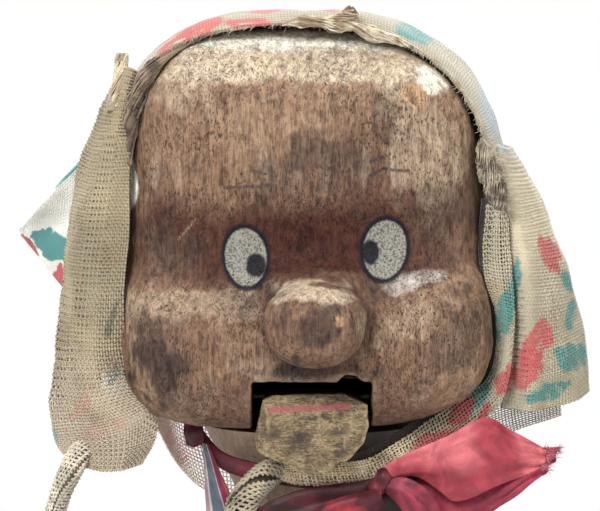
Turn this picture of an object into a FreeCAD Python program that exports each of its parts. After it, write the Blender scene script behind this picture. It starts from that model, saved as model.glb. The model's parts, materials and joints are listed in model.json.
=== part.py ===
"""Rod puppet with a carved wooden head, a block jaw worked by a cord, and two jointed arms on rods.

Millimetres. +Z is up, the puppet looks along -Y, and the origin is the foot of the central rod.
Left and right are the puppet's own, so its left arm is on the +X side.
Head parts are drawn from the underside of the head, and each arm part from its own joint, then placed.
"""

import FreeCAD
import Part
import Sketcher
import math
import os
import re
import sys
from FreeCAD import Placement, Rotation, Vector

DIMENSIONS = [
    # heights above the foot of the rod
    ("head_base", 450, "underside of the head"),
    ("shoulder_level", 387, "shoulder pins"),
    ("torso_top", 404, "flat top of the torso"),
    ("torso_base", 260, "flat underside of the torso"),
    ("waist_level", 300, "narrowest part of the torso"),
    ("skirt_top", 304, "upper edge of the skirt"),
    ("hem_level", 85, "lower edge of the skirt"),
    ("ring_level", 195, "finger ring of the jaw cord"),
    # head, from its underside
    ("crown_height", 123, "top of the head"),
    ("cranium_base", 20, "lower end of the upper block of the head"),
    ("cranium_half", 54, "half width of the upper block"),
    ("brow_front", 45, "front of the upper block, ahead of the axis"),
    ("head_back", 46, "back of the head, behind the axis"),
    ("cranium_round", 27, "rounding of the upper block"),
    ("muzzle_top", 50, "top of the cheeks"),
    ("muzzle_half", 56, "half width across the cheeks"),
    ("muzzle_front", 52, "front of the cheeks"),
    ("muzzle_round", 20, "rounding of the cheeks"),
    ("nose_level", 34.5, "centre of the nose"),
    ("nose_front", 55, "centre of the nose, ahead of the axis"),
    ("nose_side", 1.2, "the nose sits a little to one side"),
    ("nose_half_width", 15.7, "nose half width"),
    ("nose_half_depth", 13, "nose half depth"),
    ("nose_half_height", 12.6, "nose half height"),
    # jaw and its slot
    ("slot_half", 17.9, "half width of the mouth slot"),
    ("slot_top", 17, "upper lip"),
    ("jaw_half", 16.6, "half width of the jaw block"),
    ("jaw_shift", 0.6, "the jaw hangs a little to one side"),
    ("pivot_back", -8, "jaw pin along Y"),
    ("pivot_level", 9, "jaw pin above the underside of the head"),
    ("cord_back", 7.2, "jaw cord behind the axis"),
    # pins and running clearances
    ("pin_radius", 1.5, "all steel pins"),
    ("pin_bore", 1.58, "hole a pin turns in"),
    ("glue_gap", 0.02, "radial gap of a glued or driven joint"),
    ("peg_radius", 2, "locking pegs through the rod"),
    # neck and central rod
    ("neck_top_radius", 34, "neck under the head"),
    ("neck_radius", 20, "neck where it meets the torso"),
    ("neck_taper", 28, "length of the tapered part"),
    ("neck_length", 36, "whole neck"),
    ("rod_radius", 10, "central rod"),
    ("rod_depth", 8, "rod stops this far below the head"),
    ("rod_foot_radius", 8, "spigot at the foot of the rod"),
    ("rod_foot_length", 60, "spigot at the foot of the rod"),
    ("groove_half", 1.5, "half width of the cord groove"),
    ("groove_floor", 5, "floor of the cord groove behind the axis"),
    ("groove_low", 150, "lower end of the groove"),
    ("torso_bore", 10.08, "hole the torso turns in"),
    ("collar_radius", 17, "stop collar"),
    ("collar_height", 10, "stop collar"),
    ("washer_thick", 2, "leather washer"),
    # shoulders and arms
    ("shoulder_out", 58, "shoulder pin from the axis"),
    ("fork_radius", 6.5, "rounded end of a fork"),
    ("tongue_radius", 6, "rounded end of a tongue"),
    ("tongue_half", 3, "half thickness of a tongue"),
    ("fork_gap", 3.15, "half width of a fork's slot"),
    ("peg_spigot", 5, "shoulder peg"),
    ("peg_bore", 5.06, "hole the shoulder peg turns in"),
    ("upper_arm", 85, "shoulder pin to elbow pin"),
    ("forearm", 78, "elbow pin to wrist pin"),
    ("wrist_fork_radius", 5, "rounded end of the wrist fork"),
    ("wrist_tongue_radius", 4.5, "rounded end of the hand's tongue"),
    ("wrist_tongue_half", 2, "half thickness of the hand's tongue"),
    ("wrist_gap", 2.15, "half width of the wrist fork's slot"),
    ("finger_radius", 2.4, "fingers"),
    ("eye_out", 10.5, "eye on the back of the hand, outwards of the wrist"),
    ("eye_drop", 18, "eye below the wrist pin"),
    ("loop_radius", 3, "wire loops, to the middle of the wire"),
    ("wire_radius", 0.8, "wire of the eyes and hooks"),
    ("loop_slack", 0.2, "play between linked loops"),
    ("arm_rod_radius", 2.5, "arm rods"),
    ("arm_rod_length", 195, "arm rods"),
    # cloth
    ("cloth_thick", 2, "clothing, as a solid"),
    ("scarf_thick", 2.5, "headscarf, as a solid"),
    ("scarf_front", 38, "front edges of the headscarf, ahead of the axis"),
    ("scarf_back", 59, "back of the headscarf"),
    ("scarf_low", 22, "hem of the headscarf below the head's underside"),
    ("scarf_top", 129, "top of the headscarf"),
    ("scarf_hem_half", 86, "half width at the hem"),
    ("scarf_top_half", 62, "half width at the top"),
    ("sleeve_ball", 18, "sleeve round the shoulder"),
    ("sleeve_radius", 13.5, "sleeve round the arm"),
    ("sleeve_length", 58, "sleeve below the shoulder pin"),
]
ALIASES = {alias for alias, _, _ in DIMENSIONS}

doc = FreeCAD.newDocument("rod_puppet")
dims = doc.addObject("Spreadsheet::Sheet", "dims")
for row, (alias, size, note) in enumerate(DIMENSIONS, start=1):
    dims.set(f"A{row}", note)
    dims.set(f"B{row}", str(size))
    dims.setAlias(f"B{row}", alias)
doc.recompute()
nodes = []


# ---------------------------------------------------------------- expressions and placing


def cells(text):
    """A formula with its dimension names turned into references to the sheet."""
    return re.sub(r"[a-z][a-z_]+", lambda m: "dims." + m.group() if m.group() in ALIASES else m.group(), str(text))


def value(text):
    """The number a formula gives now."""
    return float(dims.evalExpression(cells(text)))


def bind(item, **formulas):
    """Binds properties of an object to formulas on the sheet."""
    for name, text in formulas.items():
        item.setExpression(name, cells(text))
    return item


def place(item, x="0", y="0", z="0"):
    """Puts an object's origin at a point given by three formulas."""
    for axis, text in zip("xyz", (x, y, z)):
        item.setExpression(f"Placement.Base.{axis}", cells(text))
    return item


def aim(item, axis):
    """Turns a shape drawn along +Z to lie along another axis."""
    turns = {
        "x": (Vector(0, 1, 0), 90), "-x": (Vector(0, 1, 0), -90),
        "y": (Vector(1, 0, 0), -90), "z": (Vector(0, 0, 1), 0),
    }
    item.Placement = Placement(Vector(), Rotation(*turns[axis]))
    return item


# ---------------------------------------------------------------- primitives


def box(label, corner, size):
    """A box from its lowest corner and its three side lengths."""
    item = bind(doc.addObject("Part::Box", label), Length=size[0], Width=size[1], Height=size[2])
    return place(item, *corner)


def block(label, half_x, y_span, z_span):
    """A box centred on X, between two Y values and two Z values."""
    (y0, y1), (z0, z1) = y_span, z_span
    size = (f"2 * ({half_x})", f"({y1}) - ({y0})", f"({z1}) - ({z0})")
    return box(label, (f"-({half_x})", y0, z0), size)


def cylinder(label, radius, length, start=("0", "0", "0"), axis="z"):
    item = aim(doc.addObject("Part::Cylinder", label), axis)
    return place(bind(item, Radius=radius, Height=length), *start)


def cone(label, low_radius, high_radius, length, start=("0", "0", "0"), axis="z"):
    item = aim(doc.addObject("Part::Cone", label), axis)
    return place(bind(item, Radius1=low_radius, Radius2=high_radius, Height=length), *start)


def ball(label, radius, centre=("0", "0", "0")):
    return place(bind(doc.addObject("Part::Sphere", label), Radius=radius), *centre)


def ellipsoid(label, radii, centre):
    """Radii along X, Y and Z."""
    item = doc.addObject("Part::Ellipsoid", label)
    item.Angle1, item.Angle2, item.Angle3 = -90, 90, 360
    return place(bind(item, Radius2=radii[0], Radius3=radii[1], Radius1=radii[2]), *centre)


def ring(label, major, minor, centre, axis):
    item = aim(doc.addObject("Part::Torus", label), axis)
    return place(bind(item, Radius1=major, Radius2=minor), *centre)


def fuse(label, *parts):
    item = doc.addObject("Part::MultiFuse", label)
    item.Shapes = list(parts)
    return item


def cut(label, base, *tools):
    item = doc.addObject("Part::Cut", label)
    item.Base = base
    item.Tool = tools[0] if len(tools) == 1 else fuse(label + "_tools", *tools)
    return item


def common(label, first, second):
    item = doc.addObject("Part::Common", label)
    item.Base, item.Tool = first, second
    return item


# ---------------------------------------------------------------- sketched bodies


def outline(body, plane, points):
    """A closed sketch of straight lines whose corners are held by formulas."""
    support = [f for f in body.Origin.OriginFeatures if f.Role == plane][0]
    sketch = body.newObject("Sketcher::SketchObject", body.Name + "_outline")
    sketch.AttachmentSupport = [(support, "")]
    sketch.MapMode = "FlatFace"
    corners = [Vector(value(u), value(v), 0) for u, v in points]
    count = len(corners)
    for i in range(count):
        sketch.addGeometry(Part.LineSegment(corners[i], corners[(i + 1) % count]), False)
    for i in range(count):
        sketch.addConstraint(Sketcher.Constraint("Coincident", i, 2, (i + 1) % count, 1))
    for i, pair in enumerate(points):
        for kind, text, axis_line in (("DistanceX", pair[0], -2), ("DistanceY", pair[1], -1)):
            if str(text) == "0":
                sketch.addConstraint(Sketcher.Constraint("PointOnObject", i, 1, axis_line))
                continue
            index = sketch.addConstraint(Sketcher.Constraint(kind, -1, 1, i, 1, value(text)))
            sketch.setExpression(f"Constraints[{index}]", cells(text))
    return sketch


def turned(label, points):
    """A piece turned about Z, from corners given as radius and height."""
    body = doc.addObject("PartDesign::Body", label)
    sketch = outline(body, "XZ_Plane", points)
    turn = body.newObject("PartDesign::Revolution", label + "_turn")
    turn.Profile = (sketch, [""])
    turn.ReferenceAxis = (sketch, ["V_Axis"])
    turn.Angle = 360
    return body


def slab(label, plane, points, thickness):
    """A sawn piece: an outline on a plane through the origin, padded equally both ways."""
    body = doc.addObject("PartDesign::Body", label)
    pad = body.newObject("PartDesign::Pad", label + "_pad")
    pad.Profile = (outline(body, plane, points), [""])
    pad.SideType = "Symmetric"
    bind(pad, Length=thickness)
    body.Tip = pad
    return body


def soften(body, radius):
    """Rounds every edge of a sawn piece."""
    pad = body.Tip
    doc.recompute()
    rounding = body.newObject("PartDesign::Fillet", body.Name + "_rounding")
    rounding.Base = (pad, [""])
    rounding.UseAllEdges = True
    bind(rounding, Radius=radius)
    body.Tip = rounding
    return body


def rounded_block(label, half_x, front, back, height, radius):
    """A block with every edge rounded, standing at z = 0 between its front and back faces."""
    corners = [(f"-({half_x})", 0), (half_x, 0), (half_x, height), (f"-({half_x})", height)]
    body = soften(slab(label, "XZ_Plane", corners, f"({front}) + ({back})"), radius)
    return place(body, y=f"(({back}) - ({front})) / 2")


def oval_loft(label, sections):
    """A solid through ovals across Z, each given as height, half width and half depth."""
    ovals = []
    for i, (height, half_x, half_y) in enumerate(sections):
        oval = doc.addObject("Part::Ellipse", f"{label}_oval_{i}")
        ovals.append(place(bind(oval, MajorRadius=half_x, MinorRadius=half_y), z=height))
    item = doc.addObject("Part::Loft", label)
    item.Sections = ovals
    item.Solid, item.Ruled = True, True
    return item


def grown(sections, margin):
    """The same sections, larger all round."""
    return [(z, f"{a} + {margin}", f"{b} + {margin}") for z, a, b in sections]


def node(label, item, x="0", y="0", z="0", turn=0):
    """Names a finished piece, places it and turns it about Z. A plain shape is wrapped to keep its own position."""
    if item.TypeId in ("Part::Box", "Part::Cylinder", "Part::Torus"):
        wrapped = doc.addObject("Part::Compound", label + "_piece")
        wrapped.Links = [item]
        item = wrapped
    item.Label = label
    item.Placement = Placement(Vector(), Rotation(Vector(0, 0, 1), turn))
    nodes.append(place(item, x, y, z))
    return item


def head_node(label, item):
    return node(label, item, z="head_base")


# ---------------------------------------------------------------- head, cover and neck

COVER_SCREWS = [(sx, level) for sx in (-14, 14) for level in (24.5, 53.5)]
DOWEL_SIDES = (-23, 23)


def head():
    upper = rounded_block("cranium_block", "cranium_half", "brow_front", "head_back",
                          "crown_height - cranium_base", "cranium_round")
    bind(upper, **{"Placement.Base.z": "cranium_base"})
    lower = rounded_block("muzzle_block", "muzzle_half", "muzzle_front", "head_back", "muzzle_top", "muzzle_round")
    nose = ellipsoid("nose_ball", ("nose_half_width", "nose_half_depth", "nose_half_height"),
                     ("nose_side", "-nose_front", "nose_level"))
    hollow = [
        block("mouth_slot", "slot_half", (-60, -28), (-1, "slot_top")),
        block("jaw_well", "slot_half", (-30, 6), (-1, 30)),
        block("tail_room", 10, (4, 26), (-1, 40)),
        block("back_opening", 12, (24, 43), (26, 52)),
        block("cover_rebate", 17, (42, "head_back + 1"), (21, 57)),
        cylinder("jaw_pin_hole", "pin_radius + glue_gap", 90, (-60, "pivot_back", "pivot_level"), "x"),
    ]
    hollow += [cylinder("screw_pilot", "1 + glue_gap", 14, (x, 33, z), "y") for x, z in COVER_SCREWS]
    hollow += [cylinder("head_dowel_hole", "3 + glue_gap", 13, (x, 4, -1)) for x in DOWEL_SIDES]
    head_node("head", cut("head_carving", fuse("head_blocks", upper, lower, nose), *hollow))


def access_cover():
    plate = block("cover_plate", 16.8, (42, "head_back"), (21.2, 56.8))
    holes = [cylinder("cover_hole", 1.15, 6, (x, 41, z), "y") for x, z in COVER_SCREWS]
    sinks = [cone("cover_sink", 1.15, 2.4, 1.3, (x, "head_back - 1.25", z), "y") for x, z in COVER_SCREWS]
    head_node("access_cover", cut("drilled_cover", plate, *holes, *sinks))


def cover_screws():
    screws = []
    for x, z in COVER_SCREWS:
        screws.append(cylinder("screw_shank", 1, 11, (x, 34, z), "y"))
        screws.append(cone("screw_head", 1, 2.2, 1.2, (x, "head_back - 1.25", z), "y"))
    head_node("cover_screws", fuse("four_screws", *screws))


def neck():
    post = turned("neck_turning", [(0, 0), ("neck_top_radius", 0), ("neck_radius", "-neck_taper"),
                                   ("neck_radius", "-neck_length"), (0, "-neck_length")])
    bores = [
        cylinder("rod_socket", "rod_radius + glue_gap", "neck_length - rod_depth + 1", (0, 0, "-neck_length - 1")),
        cylinder("cord_channel", 2.2, "rod_depth + 2", (0, "cord_back", "-rod_depth - 1")),
        cylinder("neck_peg_hole", "peg_radius + glue_gap", 60, (-30, 0, -22), "x"),
    ]
    bores += [cylinder("neck_dowel_hole", "3 + glue_gap", 11, (x, 4, -10)) for x in DOWEL_SIDES]
    head_node("neck_post", cut("bored_neck", post, *bores))
    head_node("neck_dowels", fuse("two_dowels", *[cylinder("dowel", 3, 20, (x, 4, -9)) for x in DOWEL_SIDES]))
    head_node("rod_lock_peg", cylinder("neck_peg", "peg_radius", 44, (-22, 0, -22), "x"))


# ---------------------------------------------------------------- jaw and its cord


def jaw():
    side = [(-51, 13), (-51, -5), (-46, -10.5), (-41.5, -10.5), (-40.5, 7.5), (-12, 5.6),
            (-8, 5), (-4, 6.5), (11, 7), (11, 11.5), (-4, 12.5), (-12, 13)]
    front = [("-jaw_half", 15), ("-jaw_half", 1), (-14, -4), (-1, -10.5), (5, -10.5), (13, -4.5),
             ("jaw_half", 2), ("jaw_half", 15)]
    carved = common("jaw_carving", slab("jaw_side", "YZ_Plane", side, "2 * jaw_half"),
                    slab("jaw_front", "XZ_Plane", front, 110))
    left_waste = box("tail_waste_left", (-20, -2, 0), (12, 16, 16))
    right_waste = box("tail_waste_right", (8, -2, 0), (12, 16, 16))
    bore = cylinder("jaw_bore", "pin_bore", 50, (-25, "pivot_back", "pivot_level"), "x")
    cord_hole = cylinder("tail_cord_hole", 1.8, 20, ("-jaw_shift", "cord_back", 0))
    shaped = cut("jaw_block", carved, left_waste, right_waste, bore, cord_hole)
    node("jaw_block", shaped, x="jaw_shift", z="head_base")
    pin = cylinder("jaw_wire", "pin_radius", 80, (-51, "pivot_back", "pivot_level"), "x")
    head_node("jaw_pin", pin)


def jaw_cord():
    knot_level = "head_base + 14.8"
    line = cylinder("cord_line", 0.7, f"{knot_level} - ring_level + 10", (0, "cord_back", "ring_level - 10"))
    top_knot = ball("cord_top_knot", 2.4, (0, "cord_back", knot_level))
    end_knot = ball("cord_end_knot", 1.25, (0, "cord_back", "ring_level - 9.8"))
    node("jaw_cord", fuse("knotted_cord", line, top_knot, end_knot))
    key = block("slider_key", "groove_half - 0.15", ("groove_floor + 0.3", 15.5),
                ("ring_level - 8", "ring_level + 8"))
    cord_hole = cylinder("slider_cord_hole", 0.75, 20, (0, "cord_back", "ring_level - 10"))
    ring_hole = cylinder("slider_ring_hole", 1.85, 6, (-3, 12, "ring_level"), "x")
    node("cord_slider", cut("drilled_key", key, cord_hole, ring_hole))
    node("finger_ring", ring("brass_ring", 9, 1.5, (0, 21, "ring_level"), "z"))


# ---------------------------------------------------------------- central rod and torso

COLLAR_TOP = "torso_base - washer_thick"
TORSO = [("torso_base", 33, 26), ("waist_level", 29, 23), (340, 34, 26), (372, 35.5, 27),
         (396, 35.5, 26), ("torso_top", 30, 24)]
LOCK_PIN_OUT = 26
LOCK_PIN_RISE = 4.55


def central_rod():
    top = "head_base - rod_depth"
    stick = turned("rod_turning", [(0, 0), ("rod_foot_radius", 0), ("rod_foot_radius", "rod_foot_length"),
                                   ("rod_radius", "rod_foot_length"), ("rod_radius", top), (0, top)])
    groove = block("cord_groove", "groove_half", ("groove_floor", 12), ("groove_low", f"{top} + 1"))
    peg_levels = ("head_base - 22", "torso_base - washer_thick - collar_height / 2")
    holes = [cylinder("rod_peg_hole", "peg_radius + glue_gap", 30, (-15, 0, level), "x") for level in peg_levels]
    node("central_rod", cut("grooved_rod", stick, groove, *holes))


def collar():
    low = f"{COLLAR_TOP} - collar_height"
    bore = "rod_radius + glue_gap"
    body = turned("collar_turning", [(bore, low), ("collar_radius", low), ("collar_radius", COLLAR_TOP),
                                     (bore, COLLAR_TOP)])
    middle = f"{COLLAR_TOP} - collar_height / 2"
    hole = cylinder("collar_peg_hole", "peg_radius + glue_gap", 40, (-20, 0, middle), "x")
    node("stop_collar", cut("drilled_collar", body, hole))
    node("collar_peg", cylinder("bamboo_peg", "peg_radius", 32, (-16, 0, middle), "x"))
    bore = "torso_bore + 0.2"
    node("leather_washer", turned("washer_turning", [(bore, COLLAR_TOP), ("collar_radius - 1", COLLAR_TOP),
                                                     ("collar_radius - 1", "torso_base"), (bore, "torso_base")]))


def torso():
    carved = oval_loft("torso_carving", TORSO)
    bores = [cylinder("torso_rod_bore", "torso_bore", 160, (0, 0, "torso_base - 5"))]
    for side in (-1, 1):
        start = "16" if side > 0 else "-46"
        bores.append(cylinder("peg_socket", "peg_bore", 30, (start, 0, "shoulder_level"), "x"))
        level = f"shoulder_level + {LOCK_PIN_RISE}"
        bores.append(cylinder("lock_pin_hole", "pin_radius + glue_gap", 36, (side * LOCK_PIN_OUT, -5, level), "y"))
    node("torso", cut("bored_torso", carved, *bores))


# ---------------------------------------------------------------- arms


def half_turn(side):
    """Arm pieces are drawn for the left side, and turned about Z for the right."""
    return 0 if side > 0 else 180


def rounded_end(label, axis, radius, half, tail):
    """A flat lug round a pin, with a square tail that hangs from the pin, or stands on it if tail is negative."""
    low, high = (f"-({tail})", "0") if value(tail) > 0 else ("0", f"-({tail})")
    length = f"2 * ({half})"
    if axis == "y":
        lug = cylinder(label + "_round", radius, length, (0, f"-({half})", 0), "y")
        return fuse(label, lug, block(label + "_tail", radius, (f"-({half})", half), (low, high)))
    lug = cylinder(label + "_round", radius, length, (f"-({half})", 0, 0), "x")
    return fuse(label, lug, block(label + "_tail", half, (f"-({radius})", radius), (low, high)))


def shoulder(side, name):
    """The peg turns in the torso about X, and its fork holds the upper arm on a pin along Y."""
    inner = "shoulder_out - 17.5"
    spigot = cylinder("peg_spigot_rod", "peg_spigot", inner, (f"-({inner})", 0, 0), "x")
    shank = box("peg_head", (-14, "-fork_radius", "-fork_radius"), (14, "2 * fork_radius", "2 * fork_radius"))
    lug = cylinder("peg_lug", "fork_radius", "2 * fork_radius", (0, "-fork_radius", 0), "y")
    slot = box("peg_slot", (-7.5, "-fork_gap", -10), (18, "2 * fork_gap", 20))
    pin_hole = cylinder("peg_pin_hole", "pin_radius + glue_gap", 20, (0, -10, 0), "y")
    groove_start = (f"{LOCK_PIN_OUT} - shoulder_out - 2", 0, 0)
    waste = cylinder("groove_waste", "peg_spigot + 1", 4, groove_start, "x")
    core = cylinder("groove_core", 3, 4, groove_start, "x")
    lathe_groove = cut("lock_groove", waste, core)
    peg = cut("forked_peg", fuse("peg_blank", spigot, shank, lug), slot, pin_hole, lathe_groove)
    home = {"x": f"{side} * shoulder_out", "z": "shoulder_level"}
    node(f"shoulder_peg_{name}", peg, **home, turn=half_turn(side))
    node(f"shoulder_pin_{name}", cylinder("shoulder_wire", "pin_radius", 13, (0, -6.5, 0), "y"), **home)
    lock = cylinder("lock_wire", "pin_radius", 21, (0, -4, 0), "y")
    node(f"peg_lock_pin_{name}", lock, f"{side * LOCK_PIN_OUT}", "0", f"shoulder_level + {LOCK_PIN_RISE}")


def upper_arm(side, name):
    home = {"x": f"{side} * shoulder_out", "z": "shoulder_level"}
    tongue = rounded_end("upper_tongue", "y", "tongue_radius", "tongue_half", 14)
    limb = turned("upper_limb", [(0, -11), (5, -11), (7, -13), (9, -21), (8.2, -50), (7.6, -74), (0, -74)])
    fork = rounded_end("elbow_fork", "x", "fork_radius", 7, -12)
    place(fork, z="-upper_arm")
    slot = block("elbow_slot", "fork_gap", (-12, 12), ("-upper_arm - 12", "-upper_arm + 7.5"))
    top_bore = cylinder("upper_bore", "pin_bore", 10, (0, -5, 0), "y")
    low_hole = cylinder("elbow_pin_hole", "pin_radius + glue_gap", 20, (-10, 0, "-upper_arm"), "x")
    arm = cut("upper_arm_piece", fuse("upper_blank", tongue, limb, fork), slot, top_bore, low_hole)
    node(f"upper_arm_{name}", arm, **home)
    pin = cylinder("elbow_wire", "pin_radius", 14, (-7, 0, 0), "x")
    node(f"elbow_pin_{name}", pin, home["x"], "0", "shoulder_level - upper_arm")


def forearm(side, name):
    x, level = f"{side} * shoulder_out", "shoulder_level - upper_arm"
    tongue = rounded_end("forearm_tongue", "x", "tongue_radius", "tongue_half", 14)
    limb = turned("forearm_limb", [(0, -12), (5.5, -12), (8.3, -22), (7.6, -38), (5.6, -60), (5.4, -68), (0, -68)])
    fork = rounded_end("wrist_fork", "x", "wrist_fork_radius", 5.5, -11)
    place(fork, z="-forearm")
    slot = block("wrist_slot", "wrist_gap", (-12, 12), ("-forearm - 12", "-forearm + 6"))
    top_bore = cylinder("forearm_bore", "pin_bore", 10, (-5, 0, 0), "x")
    low_hole = cylinder("wrist_pin_hole", "pin_radius + glue_gap", 20, (-10, 0, "-forearm"), "x")
    arm = cut("forearm_piece", fuse("forearm_blank", tongue, limb, fork), slot, top_bore, low_hole)
    node(f"forearm_{name}", arm, x, "0", level)
    pin = cylinder("wrist_wire", "pin_radius", 11, (-5.5, 0, 0), "x")
    node(f"wrist_pin_{name}", pin, x, "0", f"{level} - forearm")


def finger(label, radius, y, top, length, lean=0):
    """A round finger hanging from (0, y, top), leaning forward by lean degrees."""
    stick = cylinder(label + "_stick", radius, length)
    tip = ball(label + "_tip", radius, (0, 0, length))
    item = fuse(label, stick, tip)
    item.Placement = Placement(Vector(0, y, top), Rotation(Vector(1, 0, 0), 180 - lean))
    return item


def hand(side, name):
    """A carved hand that hangs from its wrist pin with the thumb in front, and an eye on its back for the rod."""
    x, level = f"{side} * shoulder_out", "shoulder_level - upper_arm - forearm"
    tongue = rounded_end("hand_tongue", "x", "wrist_tongue_radius", "wrist_tongue_half", 12)
    palm = ellipsoid("palm", (5.4, 10.4, 13), (0, 0, -20))
    fingers = [finger(f"finger_{i}", "finger_radius", -6.9 + 4.6 * i, -24, length)
               for i, length in enumerate((19, 22, 21, 16))]
    thumb = finger("thumb", "finger_radius", -6, -14, 17, 24)
    bore = cylinder("hand_bore", "pin_bore", 10, (-5, 0, 0), "x")
    eye_hole = cylinder("eye_hole", "wire_radius + glue_gap", 5, (f"{side} * 5.4 - 2.5", 0, "-eye_drop"), "x")
    carved = cut("hand_piece", fuse("hand_blank", tongue, palm, *fingers, thumb), bore, eye_hole)
    node(f"hand_{name}", carved, x, "0", level)
    loop = ring("eye_loop", "loop_radius", "wire_radius", ("eye_out", 0, "-eye_drop"), "y")
    shank = cylinder("eye_shank", "wire_radius", 4.5, (3, 0, "-eye_drop"), "x")
    node(f"hand_eye_{name}", fuse("screw_eye", loop, shank), x, "0", level, half_turn(side))


def arm_rod(side, name):
    """The hook's loop hangs in the eye's loop, and swings about the eye's lowest wire."""
    x = f"{side} * (shoulder_out + eye_out)"
    level = "shoulder_level - upper_arm - forearm - eye_drop - loop_radius"
    loop_centre = "2 * wire_radius + loop_slack - loop_radius"
    loop = ring("hook_loop", "loop_radius", "wire_radius", (0, 0, loop_centre), "-x")
    shank = cylinder("hook_shank", "wire_radius", 9, (0, 0, f"{loop_centre} - loop_radius - 9"))
    node(f"rod_hook_{name}", fuse("wire_hook", loop, shank), x, "0", level)
    stick = turned("rod_stick", [(0, 0), (1.8, 0), ("arm_rod_radius", -3), ("arm_rod_radius", "-arm_rod_length + 2"),
                                 (1.8, "-arm_rod_length"), (0, "-arm_rod_length")])
    bore = cylinder("hook_socket", "wire_radius + glue_gap", 10, (0, 0, -8.5))
    node(f"arm_rod_{name}", cut("bored_stick", stick, bore), x, "0", f"{level} + {loop_centre} - loop_radius - 2")


# ---------------------------------------------------------------- clothes


def folded(label, points, thickness, y):
    """A padded fold of cloth, as a rounded slab that faces forward."""
    return place(soften(slab(label, "XZ_Plane", points, thickness), 1.5), y=y)


def headscarf():
    """A hood open in front and below, with the tie that passes between the chin and the neck."""
    layers = []
    for name, inset in (("outer", "0"), ("inner", "scarf_thick")):
        low, top = f"scarf_hem_half + 6 - {inset}", f"scarf_top_half - {inset}"
        crown = f"scarf_top - {inset}"
        corners = [(f"-({low})", -60), (low, -60), (top, crown), (f"-({top})", crown)]
        layers.append(soften(slab(f"scarf_{name}", "XZ_Plane", corners, f"2 * (scarf_back - {inset})"), 24))
    front = block("scarf_front_waste", 120, (-150, "-scarf_front"), (-100, 200))
    below = block("scarf_below_waste", 120, (-150, 150), (-100, "-scarf_low"))
    hood = cut("scarf_hood", layers[0], layers[1], front, below)
    tie = block("scarf_tie", "scarf_hem_half - 2.2", (-33.5, -30.5), (-21.5, -10))
    tail = folded("scarf_tail", [(-35, -8), (-34, -22), (-24, -22), (-23, -8)], 8, -35)
    head_node("headscarf", fuse("tied_scarf", hood, tie, tail))


def neck_ribbon():
    """A ribbon round the neck, tied in a bow that stands out at the puppet's left."""
    band = turned("ribbon_band", [(23.2, -34), (25.2, -34), (25.2, -24), (23.2, -24)])
    bridge = box("ribbon_bridge", (19, -38, -32), (5, 24, 7))
    knot = folded("ribbon_knot", [(16, -20), (17, -27), (28, -27), (30, -20), (28, -12), (17, -12)], 12, -41)
    upper = [(24, -18), (44, -21), (68, -20), (73, -12), (68, -4), (44, -1), (24, -12)]
    lower = [(20, -20), (4, -19), (-2, -25), (4, -31), (20, -32)]
    tail = [(22, -23), (58, -20), (66, -26), (60, -32), (22, -31)]
    bow = [folded(f"ribbon_fold_{i}", points, thickness, y)
           for i, (points, thickness, y) in enumerate(((upper, 9, -42), (lower, 8, -42), (tail, 6, -41)))]
    head_node("neck_ribbon", fuse("tied_ribbon", band, bridge, knot, *bow))
    strip = box("ribbon_strip", (-38, -25, -30), (10, 2, 26))
    head_node("striped_ribbon", strip)


def blouse():
    """Worn over the torso, with a neck opening and two armholes."""
    outer = oval_loft("blouse_outer", grown([("waist_level - 15", 29.6, 23.6), *TORSO[1:-1],
                                            ("torso_top + 1 + cloth_thick", 31, 25)], "1 + cloth_thick"))
    inner = oval_loft("blouse_inner", grown([("waist_level - 16", 30.2, 23.9), *TORSO[1:-1],
                                            ("torso_top + 1", 31, 25)], 1))
    neckline = cylinder("neckline", 27.5, 20, (0, 0, "torso_top - 5"))
    armholes = cylinder("armholes", 8, 120, (-60, 0, "shoulder_level"), "x")
    node("blouse", cut("sewn_blouse", outer, inner, neckline, armholes))


def skirt():
    """A straight tube from the waist to the hem, with room for a hand inside."""
    levels = [("hem_level", 48, 44), (200, 42.5, 39), ("torso_base", 38, 32), ("skirt_top", 32.6, 26.6)]
    outer = oval_loft("skirt_outer", grown(levels, "cloth_thick"))
    ends = [("hem_level - 1", 48, 44), *levels[1:-1], ("skirt_top + 1", 32.6, 26.6)]
    node("skirt", cut("sewn_skirt", outer, oval_loft("skirt_inner", ends)))
    band = [("skirt_top - 13", 38.6, 32.6), ("skirt_top - 1", 38.6, 32.6)]
    hole = [("skirt_top - 14", 36.8, 30.8), ("skirt_top", 36.8, 30.8)]
    node("waist_sash", cut("tied_sash", oval_loft("sash_outer", band), oval_loft("sash_inner", hole)))


def sleeve(side, name):
    """A ball of cloth round the shoulder and a tube down the arm, open towards the torso above the armpit."""
    thick = "cloth_thick * 0.75"
    outer = fuse("sleeve_outer", ball("sleeve_cap", "sleeve_ball"),
                 cylinder("sleeve_tube", "sleeve_radius", "sleeve_length", (0, 0, "-sleeve_length")))
    inner = fuse("sleeve_inner", ball("sleeve_cap_inner", f"sleeve_ball - {thick}"),
                 cylinder("sleeve_tube_inner", f"sleeve_radius - {thick}", "sleeve_length + 1",
                          (0, 0, "-sleeve_length - 1")))
    opening = box("sleeve_opening", (-28, -25, -8), (30, 50, 40))
    item = cut("sewn_sleeve", outer, inner, opening)
    node(f"sleeve_{name}", item, f"{side} * shoulder_out", "0", "shoulder_level", half_turn(side))


# ---------------------------------------------------------------- build, check and write


def build():
    head()
    access_cover()
    cover_screws()
    neck()
    jaw()
    jaw_cord()
    central_rod()
    collar()
    torso()
    for side, name in ((1, "left"), (-1, "right")):
        shoulder(side, name)
        upper_arm(side, name)
        forearm(side, name)
        hand(side, name)
        arm_rod(side, name)
        sleeve(side, name)
    headscarf()
    neck_ribbon()
    blouse()
    skirt()
    doc.recompute()


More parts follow.
